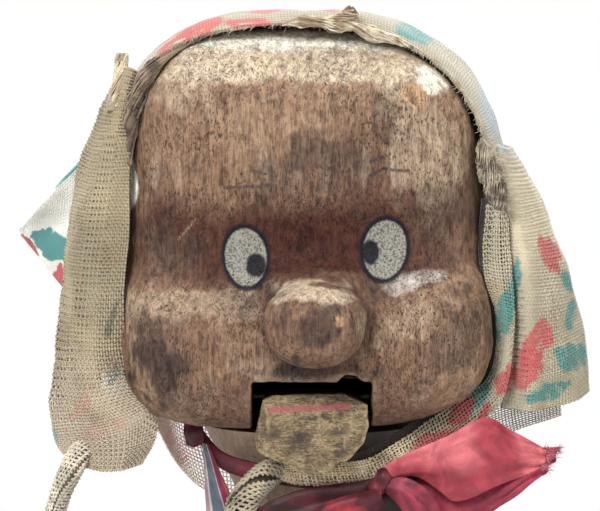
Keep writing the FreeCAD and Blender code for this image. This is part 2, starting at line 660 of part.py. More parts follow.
def problems():
    """Everything that failed to build, in words."""
    found = [f"{item.Label} is {item.State}" for item in doc.Objects
             if "Invalid" in item.State or "Error" in item.State]
    for item in nodes:
        shape = item.Shape
        if shape.isNull() or not shape.isValid() or not shape.Solids or not math.isfinite(shape.Volume):
            found.append(f"{item.Label} has no valid solid")
    return found


build()
failures = problems()
if failures:
    sys.exit("\n".join(failures))
os.makedirs("parts", exist_ok=True)
for item in nodes:
    item.Shape.exportStep(os.path.join("parts", item.Label + ".step"))
    print(f"{item.Label:22s} solids {len(item.Shape.Solids)}  volume {item.Shape.Volume:10.1f}")
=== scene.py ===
"""The looks of the rod puppet: head, jaw, headscarf, ribbons, clothes and hands round the CAD frame.

Shapes are drawn in millimetres. Those of the head and the scarf are measured from the centre of the
head's underside, and those of a hand from its wrist pin. Left and right are the puppet's own, unless
a comment says otherwise: its left is on the +X side. It looks along -Y.
"""

import bmesh
import bpy
import json
import math
import numpy as np
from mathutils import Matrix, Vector


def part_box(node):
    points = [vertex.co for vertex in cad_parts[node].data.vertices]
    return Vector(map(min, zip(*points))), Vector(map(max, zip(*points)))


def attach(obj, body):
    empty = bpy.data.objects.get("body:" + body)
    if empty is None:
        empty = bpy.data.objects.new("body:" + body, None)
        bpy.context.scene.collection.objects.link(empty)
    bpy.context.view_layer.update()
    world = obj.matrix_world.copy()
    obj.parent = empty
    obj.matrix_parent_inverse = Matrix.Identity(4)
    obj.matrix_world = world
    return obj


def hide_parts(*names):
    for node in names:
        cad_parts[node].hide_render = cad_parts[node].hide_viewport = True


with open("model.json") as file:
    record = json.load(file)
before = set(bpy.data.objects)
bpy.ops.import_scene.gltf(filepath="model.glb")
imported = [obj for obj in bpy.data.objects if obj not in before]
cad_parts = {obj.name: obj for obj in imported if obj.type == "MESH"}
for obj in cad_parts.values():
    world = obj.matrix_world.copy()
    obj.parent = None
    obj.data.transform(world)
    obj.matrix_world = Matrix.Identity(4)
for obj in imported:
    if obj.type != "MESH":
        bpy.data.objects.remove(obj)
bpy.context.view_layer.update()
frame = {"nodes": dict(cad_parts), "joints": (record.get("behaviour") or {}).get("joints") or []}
MM = 0.001
ROOT = "head_and_rod"


def box_mm(node):
    """Lowest and highest corner of a CAD node in millimetres."""
    low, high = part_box(node)
    return np.array(low) / MM, np.array(high) / MM


HEAD_LOW, HEAD_HIGH = box_mm("head")
HEAD_BASE = np.array([0, 0, HEAD_LOW[2]])
CROWN = HEAD_HIGH[2] - HEAD_LOW[2]
BACK = HEAD_HIGH[1]
SIDES = (("left", 1), ("right", -1))
JOINTS = {joint["name"]: joint for joint in frame["joints"]}
SHOULDER_OUT, _, SHOULDER_LEVEL = (c / MM for c in JOINTS["shoulder_raise_left"]["pos_m"])
WRIST_LEVEL = JOINTS["wrist_left"]["pos_m"][2] / MM

# ---------------------------------------------------------------- numbers, noise and curves


def smooth(value, low, high):
    """0 below low, 1 above high, and an even step between. High may be the smaller."""
    t = np.clip((value - low) / (high - low), 0, 1)
    return t * t * (3 - 2 * t)


def noise(points, size, seed):
    """Smooth noise from -1 to 1 with lumps of about the given size."""
    lattice = np.random.default_rng(seed).uniform(-1, 1, (16, 16, 16))
    scaled = np.asarray(points, float) / size
    cell = np.floor(scaled).astype(int)
    part = scaled - cell
    part = part * part * (3 - 2 * part)
    total = 0
    for corner in np.ndindex(2, 2, 2):
        weight = np.prod(np.where(corner, part, 1 - part), axis=-1)
        i, j, k = np.moveaxis((cell + corner) % 16, -1, 0)
        total = total + lattice[i, j, k] * weight
    return total


def rough_noise(points, size, seed, layers=3):
    """Layers of noise, each half the size and half the height of the one before."""
    return sum(noise(points, size / 2 ** i, seed + i) / 2 ** i for i in range(layers))


def spline(a, b, c, d, t):
    """The smooth curve from b at t = 0 to c at t = 1, with neighbours a and d."""
    square = 2 * a - 5 * b + 4 * c - d
    cube = 3 * b - a - 3 * c + d
    return 0.5 * (2 * b + (c - a) * t + square * t ** 2 + cube * t ** 3)


def curve(points):
    """A smooth curve through the points, as a function of u from 0 to 1."""
    points = np.asarray(points, float)
    padded = np.vstack([2 * points[0] - points[1], points, 2 * points[-1] - points[-2]])

    def at(u):
        along = np.clip(np.asarray(u, float), 0, 1) * (len(points) - 1)
        i = np.minimum(along.astype(int), len(points) - 2)
        t = (along - i)[..., None]
        return spline(*(padded[i + k] for k in range(4)), t)

    return at


def unit(vectors):
    return vectors / np.maximum(np.linalg.norm(vectors, axis=-1, keepdims=True), 1e-9)


# ---------------------------------------------------------------- meshes


def make_mesh(name, points, faces, material, body, origin=(0, 0, 0), uv=None, colours=None, wear=None):
    """A piece from points in millimetres. uv and colours are given per point."""
    mesh = bpy.data.meshes.new(name)
    mesh.from_pydata(((np.asarray(points) + origin) * MM).tolist(), [], np.asarray(faces).tolist())
    mesh.validate()
    mesh.shade_smooth()
    if uv is not None:
        corner = np.zeros(len(mesh.loops), int)
        mesh.loops.foreach_get("vertex_index", corner)
        mesh.uv_layers.new(name="UVMap").data.foreach_set("uv", np.asarray(uv, np.float32)[corner].ravel())
    if colours is not None:
        rgba = np.ones((len(points), 4), np.float32)
        rgba[:, :3] = colours
        mesh.color_attributes.new("tint", "FLOAT_COLOR", "POINT").data.foreach_set("color", rgba.ravel())
    if wear is not None:
        mesh.attributes.new("wear", "FLOAT", "POINT").data.foreach_set("value", wear.astype(np.float32))
    mesh.materials.append(material)
    piece = bpy.data.objects.new(name, mesh)
    bpy.context.scene.collection.objects.link(piece)
    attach(piece, body)
    return piece


def grid_faces(rows, columns, wrap_rows=False, wrap_columns=False):
    """Quads between the points of a grid stored row by row."""
    i, j = np.meshgrid(np.arange(rows - (not wrap_rows)), np.arange(columns - (not wrap_columns)),
                       indexing="ij")
    i2, j2 = (i + 1) % rows, (j + 1) % columns
    return np.stack([i * columns + j, i2 * columns + j, i2 * columns + j2, i * columns + j2],
                    -1).reshape(-1, 4)


def grid_uv(grid):
    """Each point's mean distance along the rows and columns of a grid, in millimetres."""
    steps_u = np.linalg.norm(np.diff(grid, axis=0), axis=-1).mean(1)
    steps_v = np.linalg.norm(np.diff(grid, axis=1), axis=-1).mean(0)
    u = np.concatenate([[0], np.cumsum(steps_u)])
    v = np.concatenate([[0], np.cumsum(steps_v)])
    return np.stack(np.meshgrid(u, v, indexing="ij"), -1).reshape(-1, 2)


def sheet(name, surface, size, material, body=ROOT, origin=HEAD_BASE, colour=None, thick=0.6, wrap=False):
    """A cloth from a function of u and v that gives points. colour turns points into colours."""
    rows, columns = size
    u, v = np.meshgrid(np.linspace(0, 1, rows), np.linspace(0, 1, columns), indexing="ij")
    grid = surface(u, v)
    uv = grid_uv(grid)
    points = grid.reshape(-1, 3)
    colours = None if colour is None else colour(points)
    piece = make_mesh(name, points, grid_faces(rows, columns), material, body, origin, uv, colours)
    if wrap:
        weld = piece.modifiers.new("weld", "WELD")
        weld.merge_threshold = 0.02 * MM
    if thick:
        solid = piece.modifiers.new("cloth", "SOLIDIFY")
        solid.thickness = thick * MM
        solid.offset = 0
    return piece


def tubes(name, paths, radius, material, body=ROOT, origin=HEAD_BASE, sides=4, taper=1.0, colour=None):
    """Round threads, cords or rolls along the paths, closed at both ends.

    radius is one number, a function of the share of the length, or a list with one of these per path.
    """
    all_points, all_faces, count = [], [], 0
    for number, path in enumerate(paths):
        path = np.asarray(path, float)
        along = unit(np.gradient(path, axis=0))
        reference = np.array([0.31, 0.17, 0.93]) if abs(along[0][2]) < 0.9 else np.array([0.9, 0.3, 0.1])
        across = unit(np.cross(along, reference))
        up = np.cross(along, across)
        turn = np.linspace(0, 2 * math.pi, sides, endpoint=False)
        t = np.linspace(0, 1, len(path))
        size = radius[number] if isinstance(radius, list) else radius
        r = size(t) if callable(size) else size * (1 + (taper - 1) * t)
        ring = across[:, None] * np.cos(turn)[None, :, None] + up[:, None] * np.sin(turn)[None, :, None]
        points = (path[:, None] + ring * np.broadcast_to(r, t.shape)[:, None, None]).reshape(-1, 3)
        faces = (grid_faces(len(path), sides, wrap_columns=True) + count).tolist()
        faces.append([count + k for k in range(sides)])
        faces.append([count + len(points) - 1 - k for k in range(sides)])
        all_points.append(points)
        all_faces += faces
        count += len(points)
    points = np.vstack(all_points)
    colours = None if colour is None else colour(points)
    mesh_faces = np.empty(len(all_faces), object)
    mesh_faces[:] = all_faces
    return make_mesh(name, points, mesh_faces, material, body, origin, points[:, [0, 2]], colours)


# ---------------------------------------------------------------- carving: solids as signed distances


class Block:
    """A region of space cut into small cells, on which shapes are given by their distance."""

    def __init__(self, low, high, step):
        self.low, self.step = np.array(low, float), step
        axes = [np.arange(a, b + step, step, dtype=np.float32) for a, b in zip(low, high)]
        self.p = np.stack(np.meshgrid(*axes, indexing="ij"), -1)

    def mesh(self, distance):
        """The surface where the distance is zero: its points and quads."""
        inside = distance < 0
        cells = tuple(n - 1 for n in distance.shape)
        count = np.zeros(cells, np.int8)
        for corner in np.ndindex(2, 2, 2):
            count += inside[tuple(slice(c, c + n) for c, n in zip(corner, cells))]
        active = (count > 0) & (count < 8)
        where = np.argwhere(active)
        number = np.full(cells, -1)
        number[active] = np.arange(len(where))
        total, hits = np.zeros((len(where), 3)), np.zeros(len(where))
        for axis in range(3):
            step = np.eye(3, dtype=int)[axis]
            for pair in np.ndindex(2, 2):
                corner = np.insert(pair, axis, 0)
                a = distance[tuple((where + corner).T)]
                b = distance[tuple((where + corner + step).T)]
                crossed = (a < 0) != (b < 0)
                share = np.where(crossed, a / np.where(crossed, a - b, 1), 0)
                total += np.where(crossed[:, None], corner + share[:, None] * step, 0)
                hits += crossed
        points = self.low + self.step * (where + total / hits[:, None])
        faces = []
        for axis in range(3):
            step = np.eye(3, dtype=int)[axis]
            side_a, side_b = np.eye(3, dtype=int)[(axis + 1) % 3], np.eye(3, dtype=int)[(axis + 2) % 3]
            first = np.take(inside, range(distance.shape[axis] - 1), axis)
            second = np.take(inside, range(1, distance.shape[axis]), axis)
            edge = np.argwhere(first != second)
            edge = edge[np.all((edge >= side_a + side_b) & (edge < np.array(cells)), axis=1)]
            corners = (0 * step, side_a, side_a + side_b, side_b)
            quad = np.stack([number[tuple((edge - place).T)] for place in corners], -1)
            leaves = first[tuple(edge.T)]
            faces.append(np.where(leaves[:, None], quad[:, ::-1], quad))
        return points, np.vstack(faces)[:, ::-1]


def ellipsoid(p, centre, radii):
    q = (p - np.array(centre, np.float32)) / np.array(radii, np.float32)
    near = np.linalg.norm(q, axis=-1)
    slope = np.linalg.norm(q / np.array(radii, np.float32), axis=-1)
    return near * (near - 1) / np.maximum(slope, 1e-6)


def round_box(p, low, high, radius):
    low, high = np.array(low, np.float32), np.array(high, np.float32)
    q = np.abs(p - (low + high) / 2) - (high - low) / 2 + radius
    return np.linalg.norm(np.maximum(q, 0), axis=-1) + np.minimum(q.max(-1), 0) - radius


def capsule(p, start, end, radius):
    start, end = np.array(start, np.float32), np.array(end, np.float32)
    line = end - start
    t = np.clip((p - start) @ line / (line @ line), 0, 1)
    return np.linalg.norm(p - start - t[..., None] * line, axis=-1) - radius


def join(a, b, soft):
    """Both shapes, with a fillet of about the given size between them."""
    h = np.clip(0.5 + 0.5 * (b - a) / soft, 0, 1)
    return b * (1 - h) + a * h - soft * h * (1 - h)


def carve(a, b, soft):
    """The first shape with the second cut away."""
    return -join(-a, b, soft)


def turn_about(p, centre, degrees):
    """Points turned about a line along y through the centre."""
    c, s = math.cos(math.radians(degrees)), math.sin(math.radians(degrees))
    q = p - np.array(centre, p.dtype)
    out = q.copy()
    out[..., 2] = c * q[..., 2] - s * q[..., 0]
    out[..., 0] = s * q[..., 2] + c * q[..., 0]
    return out + np.array(centre, p.dtype)


def normals_and_wear(points, faces):
    """Normals at the points, and how far each stands out of its neighbourhood, in millimetres."""
    a, b, c, d = (points[faces[:, k]] for k in range(4))
    face_normal = np.cross(c - a, d - b)
    normal = np.zeros_like(points)
    for k in range(4):
        np.add.at(normal, faces[:, k], face_normal)
    normal = unit(normal)
    edges = np.vstack([faces[:, [k, (k + 1) % 4]] for k in range(4)])
    count = np.bincount(edges[:, 0], minlength=len(points))
    even = points
    for _ in range(6):
        even = np.stack([np.bincount(edges[:, 0], even[edges[:, 1], k], len(points)) for k in range(3)], -1)
        even /= np.maximum(count, 1)[:, None]
    return normal, ((points - even) * normal).sum(-1)


# ---------------------------------------------------------------- materials


class Value:
    """A number, vector or colour in a material's node tree. It takes part in sums and products."""

    def __init__(self, shader, socket):
        self.shader, self.socket = shader, socket

    def __add__(self, other):
        return self.shader.math("ADD", self, other)

    def __sub__(self, other):
        return self.shader.math("SUBTRACT", self, other)

    def __rsub__(self, other):
        return self.shader.math("SUBTRACT", other, self)

    def __mul__(self, other):
        return self.shader.math("MULTIPLY", self, other)

    def __truediv__(self, other):
        return self.shader.math("DIVIDE", self, other)

    __radd__, __rmul__ = __add__, __mul__


class Shader:
    """Builds one material. Colours are linear red, green and blue, and lengths are millimetres."""

    def __init__(self, name):
        self.material = bpy.data.materials.new(name)
        self.material.use_nodes = True
        self.tree = self.material.node_tree
        self.surface = self.tree.nodes["Principled BSDF"]
        place = self.node("ShaderNodeTexCoord")
        self.place = self.vector("SCALE", place.outputs["Object"], scale=1 / MM)
        self.uv = Value(self, place.outputs["UV"])

    def node(self, kind, inputs=(), **settings):
        made = self.tree.nodes.new(kind)
        for name, value in settings.items():
            setattr(made, name, value)
        for key, value in dict(inputs).items():
            self.feed(made.inputs[key], value)
        return made

    def feed(self, socket, value):
        value = value.socket if isinstance(value, Value) else value
        if isinstance(value, bpy.types.NodeSocket):
            self.tree.links.new(value, socket)
        elif isinstance(value, tuple) and socket.type == "RGBA":
            socket.default_value = (*value[:3], 1)
        else:
            socket.default_value = value

    def math(self, operation, *values, clamp=False):
        made = self.node("ShaderNodeMath", enumerate(values), operation=operation, use_clamp=clamp)
        return Value(self, made.outputs[0])

    def vector(self, operation, a, b=None, scale=None):
        made = self.node("ShaderNodeVectorMath", {0: a}, operation=operation)
        if b is not None:
            self.feed(made.inputs[1], b)
        if scale is not None:
            made.inputs["Scale"].default_value = scale
        return Value(self, made.outputs["Value" if operation in ("LENGTH", "DOT_PRODUCT") else 0])

    def parts(self, vector):
        made = self.node("ShaderNodeSeparateXYZ", {0: vector})
        return [Value(self, out) for out in made.outputs]

    def step(self, value, low, high):
        made = self.node("ShaderNodeMapRange", {"Value": value, "From Min": low, "From Max": high},
                         interpolation_type="SMOOTHSTEP")
        return Value(self, made.outputs[0])

    def noise(self, scale, detail=4.0, roughness=0.6, distortion=0.0, vector=None):
        """Noise from 0 to 1. scale is lumps per millimetre, along each axis if it is a tuple."""
        source = self.place if vector is None else vector
        if isinstance(scale, tuple):
            source, scale = self.vector("MULTIPLY", source, scale), 1.0
        made = self.node("ShaderNodeTexNoise", {"Vector": source, "Scale": scale, "Detail": detail,
                                                "Roughness": roughness, "Distortion": distortion})
        return Value(self, made.outputs[0])

    def mix(self, share, a, b, blend="MIX"):
        made = self.node("ShaderNodeMix", data_type="RGBA", blend_type=blend, clamp_factor=True)
        for socket, value in ((made.inputs[0], share), (made.inputs[6], a), (made.inputs[7], b)):
            self.feed(socket, value)
        return Value(self, made.outputs[2])

    def attribute(self, name, output="Color"):
        return Value(self, self.node("ShaderNodeAttribute", attribute_name=name).outputs[output])

    def finish(self, colour, roughness, height=None, depth=0.2, **settings):
        """Connects colour, roughness, and bump from a height of 0 to 1 over the given depth."""
        self.feed(self.surface.inputs["Base Color"], colour)
        self.feed(self.surface.inputs["Roughness"], roughness)
        if height is not None:
            bump = self.node("ShaderNodeBump", {"Height": height, "Distance": depth * MM})
            self.feed(self.surface.inputs["Normal"], bump.outputs[0])
        for name, value in settings.items():
            self.feed(self.surface.inputs[name.replace("_", " ")], value)
        return self.material


def wood(name, dark, light, along=2, fine=1.0, pores=0.5, shine=0.5, shaded_side=False):
    """Wood with its grain along one axis: streaks, pores and clouds. The shaded-side flag paints its left
    side almost black: painted shade for the shadow under the head.
    """
    s = Shader(name)
    stretch = [0.55 * fine] * 3
    stretch[along] = 0.035 * fine
    grain = s.noise(tuple(stretch), 6, 0.65, 0.6)
    narrow = [2.6 * fine] * 3
    narrow[along] = 0.22 * fine
    streak = s.noise(tuple(narrow), 3, 0.6)
    pore_at = [1.9 * fine] * 3
    pore_at[along] = 0.5 * fine
    pore = s.step(s.noise(tuple(pore_at), 2, 0.5), 0.64, 0.72) * pores
    cloud = s.noise(0.05 * fine, 3, 0.6)
    share = s.step(grain * 0.55 + streak * 0.25 + cloud * 0.3, 0.35, 0.75)
    colour = s.mix(share, dark, light)
    colour = s.mix(pore, colour, tuple(0.35 * c for c in dark))
    if shaded_side:
        # Painted shade: the left side is laid almost black, as if in the shadow under the head.
        side_shade = s.step(s.parts(s.place)[0] + cloud * 6, 0, 14)
        colour = s.mix(side_shade * 0.93, colour, (0.012, 0.008, 0.006))
    height = grain * 0.4 + streak * 0.3 - pore * 0.8
    return s.finish(colour, s.step(cloud + streak * 0.3, 0.2, 1.2) * 0.2 + shine, height, 0.18)


def reach(s, x, z, centre, radii, lean=0):
    """1 on the edge of a leaning ellipse seen from the front, and less inside it."""
    c, n = math.cos(math.radians(lean)), math.sin(math.radians(lean))
    dx, dz = x - centre[0], z - centre[1]
    across, up = (dx * c + dz * n) / radii[0], (dz * c - dx * n) / radii[1]
    return s.math("SQRT", across * across + up * up)


def stroke(s, x, z, start, end):
    """Distance from a straight stroke seen from the front."""
    run, rise = end[0] - start[0], end[1] - start[1]
    length = math.hypot(run, rise)
    dx, dz = x - start[0], z - start[1]
    along = s.math("MINIMUM", s.math("MAXIMUM", dx * (run / length) + dz * (rise / length), 0.0), length)
    dx, dz = dx - along * (run / length), dz - along * (rise / length)
    return s.math("SQRT", dx * dx + dz * dz)


# The right eye and then the left one: (centre, half sizes, lean), (pupil, half sizes), strokes of the brow.
EYES = (
    (((-19.9, 54.7), (6.9, 9.5), 5), ((-16.8, 52.2), (3.0, 3.5)),
     (((-25.5, 75.7), (-12.9, 76.4)), ((-18.0, 80.9), (-14.0, 79.9)))),
    (((21.9, 57.0), (7.1, 9.7), -8), ((17.6, 56.0), (2.6, 3.7)),
     (((17.4, 79.4), (21.5, 81.4)), ((21.5, 81.4), (29.0, 80.6)), ((17.4, 83.5), (22.2, 85.2)))),
)
# Where each scratch starts and ends, seen from the front.
SCRATCHES = (((-17, 100), (-6, 106.5)), ((9, 100.5), (18.6, 107)), ((22, 96), (27, 101)),
             ((-40, 60), (-35, 66)))


def head_wood():
    """Old stained wood, rubbed bare on what stands out, with painted eyes and short brows."""
    s = Shader("carved_head_wood")
    x, y, z = s.parts(s.place)
    z = z - float(HEAD_BASE[2])
    tint, wear = s.attribute("tint"), s.attribute("wear", "Fac")
    grain = s.noise((0.9, 0.9, 0.075), 6, 0.7, 0.4)
    fibre = s.noise((3.4, 3.4, 0.25), 3, 0.6)
    cloud = s.noise(0.09, 5, 0.65)
    mottle = s.noise((0.5, 0.5, 0.3), 5, 0.7, 0.5)
    patch = s.step(s.noise(0.055, 3, 0.6), 0.42, 0.6)
    pore = s.step(s.noise((1.9, 1.9, 0.75), 3, 0.6), 0.58, 0.66) * (patch * 0.85 + 0.15)
    pit = s.step(s.noise(1.3, 2, 0.6), 0.66, 0.74) * s.step(cloud, 0.4, 0.6)
    scuff = s.step(s.noise((3.0, 3.0, 0.5), 3, 0.6), 0.6, 0.72) * s.step(s.noise(0.08, 3), 0.42, 0.62)
    share = s.step(grain * 0.4 + fibre * 0.3 + mottle * 0.45 + cloud * 0.1, 0.47, 0.79)
    colour = s.mix(1.0, tint, s.mix(share, (0.4, 0.36, 0.36), (1.72, 1.72, 1.7)), "MULTIPLY")
    streaky = s.step(s.noise((0.06, 0.06, 0.03), 2), 0.45, 0.6)
    streak = s.step(s.noise((2.2, 2.2, 0.12), 3, 0.6), 0.6, 0.7) * streaky
    colour = s.mix(streak * 0.5, colour, s.mix(1.0, colour, (1.9, 1.8, 1.65), "MULTIPLY"))
    colour = s.mix(s.step(wear, 0.03, 0.35) * 0.35, colour, (0.34, 0.24, 0.15))
    colour = s.mix(s.step(wear, -0.05, -0.35) * 0.5, colour, (0.04, 0.022, 0.016))
    colour = s.mix(scuff * 0.4, colour, s.mix(1.0, colour, (1.9, 1.85, 1.75), "MULTIPLY"))
    colour = s.mix(pore * 0.7, colour, (0.03, 0.018, 0.014))
    colour = s.mix(pit * 0.6, colour, (0.025, 0.016, 0.014))
    ragged_x = x + (s.noise(0.8, 3) - 0.5) * 1.3
    ragged_z = z + (s.noise(0.7, 3) - 0.5) * 1.3
    front = s.step(y, -20, -24)
    for scratch in SCRATCHES:
        line = s.step(stroke(s, ragged_x, ragged_z, *scratch), 0.8, 0.1) * s.step(fibre, 0.4, 0.6) * front
        colour = s.mix(line * 0.35, colour, (0.5, 0.36, 0.26))
    paint = 0.0
    for (centre, radii, lean), (pupil, pupil_radii), brows in EYES:
        edge = reach(s, ragged_x * 0.5 + x * 0.5, ragged_z * 0.5 + z * 0.5, centre, radii, lean)
        white = s.step(edge, 0.95, 0.86) * front
        outline = s.step(edge + s.noise(1.1, 3) * 0.12, 1.21, 1.06) * front
        speck = s.step(s.noise(1.5, 4, 0.75), 0.46, 0.6)
        chalk = s.mix(speck * 0.85, (0.305, 0.296, 0.252), (0.055, 0.05, 0.045))
        colour = s.mix(outline * s.step(fibre, 0.1, 0.4) * 0.95, colour, (0.008, 0.009, 0.016))
        colour = s.mix(white * 0.97, colour, chalk)
        dot = s.step(reach(s, ragged_x, ragged_z, pupil, pupil_radii), 1.2, 0.85) * front
        colour = s.mix(dot * 0.97, colour, s.mix(speck * 0.5, (0.001, 0.001, 0.004), (0.04, 0.04, 0.05)))
        paint = s.math("MAXIMUM", white, paint)
        for brow in brows:
            rubbed = s.step(grain + fibre * 0.5, 0.58, 0.84)
            line = s.step(stroke(s, ragged_x, ragged_z, *brow), 0.85, 0.2) * rubbed
            colour = s.mix(line * front * 0.8, colour, (0.018, 0.02, 0.032))
    height = grain * 0.3 + fibre * 0.35 + mottle * 0.4 - pore * 0.8 - pit * 0.9 + scuff * 0.2
    height = height * (1 - paint * 0.5) + paint * 0.35
    return s.finish(colour, 0.6 + cloud * 0.2 - paint * 0.05, height, 0.4, Specular_IOR_Level=0.15)


# Dark stains on the front of the jaw: centre and half sizes.
JAW_STAINS = (((-4.6, -0.8), (3.4, 2.6)), ((-2.4, 1.2), (2.2, 1.8)), ((8.4, -3.9), (2.3, 1.3)),
              ((-12, 2.6), (3.0, 2.2)), ((7.5, 2.6), (3.4, 1.2)), ((2, 7.0), (5.4, 0.7)), ((9, 9), (3, 1)))


def jaw_wood():
    """Bare yellowish wood with dark stains, and worn pink paint along the lip."""
    s = Shader("bare_jaw_wood")
    x, y, z = s.parts(s.place)
    z = z - float(HEAD_BASE[2])
    wear = s.attribute("wear", "Fac")
    cut = s.noise((0.4, 0.5, 1.5), 6, 0.7, 1.2)
    cloud = s.noise(0.16, 5, 0.6)
    fine = s.noise((0.8, 0.8, 2.4), 4, 0.7, 0.6)
    stain = s.step(s.noise((0.2, 0.2, 0.24), 6, 0.75, 0.8), 0.5, 0.6)
    pit = s.step(s.noise(1.3, 3, 0.6), 0.62, 0.72)
    colour = s.mix(s.step(cloud * 0.25 + cut * 0.4 + fine * 0.4, 0.4, 0.68), (0.06, 0.04, 0.025),
                   (0.44, 0.335, 0.19))
    colour = s.mix(stain * 0.55, colour, (0.07, 0.046, 0.036))
    ragged_x, ragged_z = x + (s.noise(0.5, 4, 0.7) - 0.5) * 3.4, z + (s.noise(0.45, 4, 0.7) - 0.5) * 3.4
    for centre, radii in JAW_STAINS:
        mark = s.step(reach(s, ragged_x, ragged_z, centre, radii), 1.4, 0.6) * s.step(fine, 0.25, 0.6)
        colour = s.mix(mark * 0.85, colour, (0.05, 0.036, 0.034))
    colour = s.mix(s.step(wear, 0.03, 0.25) * 0.45, colour, (0.42, 0.33, 0.18))
    lip_line = stroke(s, ragged_x * 0.5 + x * 0.5, ragged_z * 0.5 + z * 0.5, (-12.5, 9.3), (10.5, 10.4))
    lip = s.step(lip_line, 1.25, 0.4)
    colour = s.mix(lip * s.step(fine, 0.25, 0.5) * s.step(y, -44, -47) * 0.85, colour, (0.36, 0.095, 0.11))
    # Dark red behind the front, inside the head's slot: the inner mouth's paint and painted shade.
    colour = s.mix(s.step(y, -47.5, -44.5) * 0.9, colour, (0.045, 0.014, 0.016))
    colour = s.mix(pit * 0.6, colour, (0.04, 0.026, 0.02))
    return s.finish(colour, 0.7 + cloud * 0.2, cut * 0.5 + fine * 0.5 + cloud * 0.3 - pit, 0.55,
                    Specular_IOR_Level=0.25)


def weave(s, pitch):
    """Height from 0 to 1 of a plain weave over UV in millimetres."""
    drift = (s.noise(0.15, 2, vector=s.uv) - 0.5) * 0.9
    u, v, _ = s.parts(s.uv)
    across, along = (u + drift) * (math.pi / pitch), (v + drift) * (math.pi / pitch)
    sin_u, sin_v = s.math("SINE", across), s.math("SINE", along)
    over = sin_u * sin_v * 0.42
    warp, weft = sin_u * sin_u, sin_v * sin_v
    return s.math("MAXIMUM", warp * (0.58 + over), weft * (0.58 - over))


def cloth(name, pitch, depth, gap, dirt=0.35):
    """Woven cloth in the colour of its tint, with slubs, gaps between the yarns, and dirt."""
    s = Shader(name)
    tint = s.attribute("tint")
    yarn = weave(s, pitch)
    slub = s.noise((0.25, 2.2, 0.25), 3, 0.6, vector=s.uv) * 0.5
    slub = slub + s.noise((2.2, 0.25, 0.25), 3, 0.6, vector=s.uv) * 0.5
    cloud = s.noise(0.05, 4, 0.6)
    fuzz = s.noise(4.0, 2, 0.6)
    colour = s.mix(s.step(yarn, 0.0, 0.6), s.mix(gap, tint, (0.08, 0.055, 0.035)), tint)
    colour = s.mix(s.step(slub, 0.35, 0.65) * 0.3, colour, s.mix(1.0, colour, (1.3, 1.28, 1.2), "MULTIPLY"))
    colour = s.mix(s.step(cloud, 0.45, 0.75) * dirt, colour,
                   s.mix(1.0, colour, (0.62, 0.52, 0.4), "MULTIPLY"))
    return s.finish(colour, 0.9 - yarn * 0.08, yarn * 0.75 + fuzz * 0.15 + slub * 0.15, depth,
                    Sheen_Weight=0.25)


def yarn_cloth(name):
    """Single yarns: fibres twisted round each, in the colour of the tint."""
    s = Shader(name)
    tint = s.attribute("tint")
    fibre = s.noise(2.4, 4, 0.65, 0.6)
    cloud = s.noise(0.07, 4, 0.6)
    colour = s.mix(1.0, tint, s.mix(fibre, (0.6, 0.57, 0.52), (1.3, 1.28, 1.24)), "MULTIPLY")
    colour = s.mix(s.step(cloud, 0.45, 0.75) * 0.3, colour,
                   s.mix(1.0, colour, (0.68, 0.58, 0.46), "MULTIPLY"))
    return s.finish(colour, 0.92, fibre, 0.12, Sheen_Weight=0.3)


def satin(name):
    """Smooth satin with fine ribs across it and soft creases, with painted shade in the creases' hollows
    and painted sheen on its threads.
    """
    s = Shader(name)
    tint = s.attribute("tint")
    rib = s.math("SINE", s.parts(s.uv)[0] * 9.0) * 0.5 + 0.5
    thread = s.noise((0.4, 6.0, 0.4), 3, 0.6, vector=s.uv)
    crease = s.noise(0.12, 4, 0.6, 0.8)
    # Painted shade and light: darker where the crease bumps sink, lighter where they rise.
    colour = s.mix(s.step(crease, 0.35, 0.7), s.mix(1.0, tint, (0.66, 0.55, 0.6), "MULTIPLY"),
                   s.mix(1.0, tint, (1.12, 1.1, 1.1), "MULTIPLY"))
    # Painted sheen: lighter where the threads rise in the bump.
    colour = s.mix(thread * 0.25, colour, s.mix(1.0, colour, (1.25, 1.3, 1.3), "MULTIPLY"))
    return s.finish(colour, 0.4 + thread * 0.2, rib * 0.3 + thread * 0.4 + crease * 0.5, 0.12,
                    Sheen_Weight=0.04, Anisotropic=0.4, Specular_IOR_Level=0.35)


def metal(name, colour, dull, rough):
    """Bare metal, tarnished in patches and scratched."""
    s = Shader(name)
    cloud = s.noise(0.35, 5, 0.65)
    scratch = s.noise((6.0, 1.0, 1.0), 4, 0.6)
    tarnish = s.step(cloud, 0.4, 0.7)
    shade = s.mix(tarnish * 0.7, colour, dull)
    return s.finish(shade, rough + tarnish * 0.25 + scratch * 0.1, scratch * 0.5 + cloud * 0.5, 0.05,
                    Metallic=1 - tarnish * 0.25)


def leather():
    s = Shader("old_leather")
    cell = s.noise(1.3, 5, 0.6, 0.5)
    cloud = s.noise(0.2, 3)
    colour = s.mix(s.step(cell * 0.6 + cloud * 0.4, 0.3, 0.7), (0.09, 0.045, 0.025), (0.27, 0.15, 0.085))
    return s.finish(colour, 0.5 + cell * 0.3, cell, 0.25)


LINEN = (0.47, 0.40, 0.27)
PRINT_GROUND = (0.58, 0.53, 0.4)
TEAL, RED, PALE_BLUE = (0.02, 0.26, 0.265), (0.52, 0.055, 0.075), (0.36, 0.47, 0.52)
DARK_TEAL = (0.03, 0.07, 0.055)

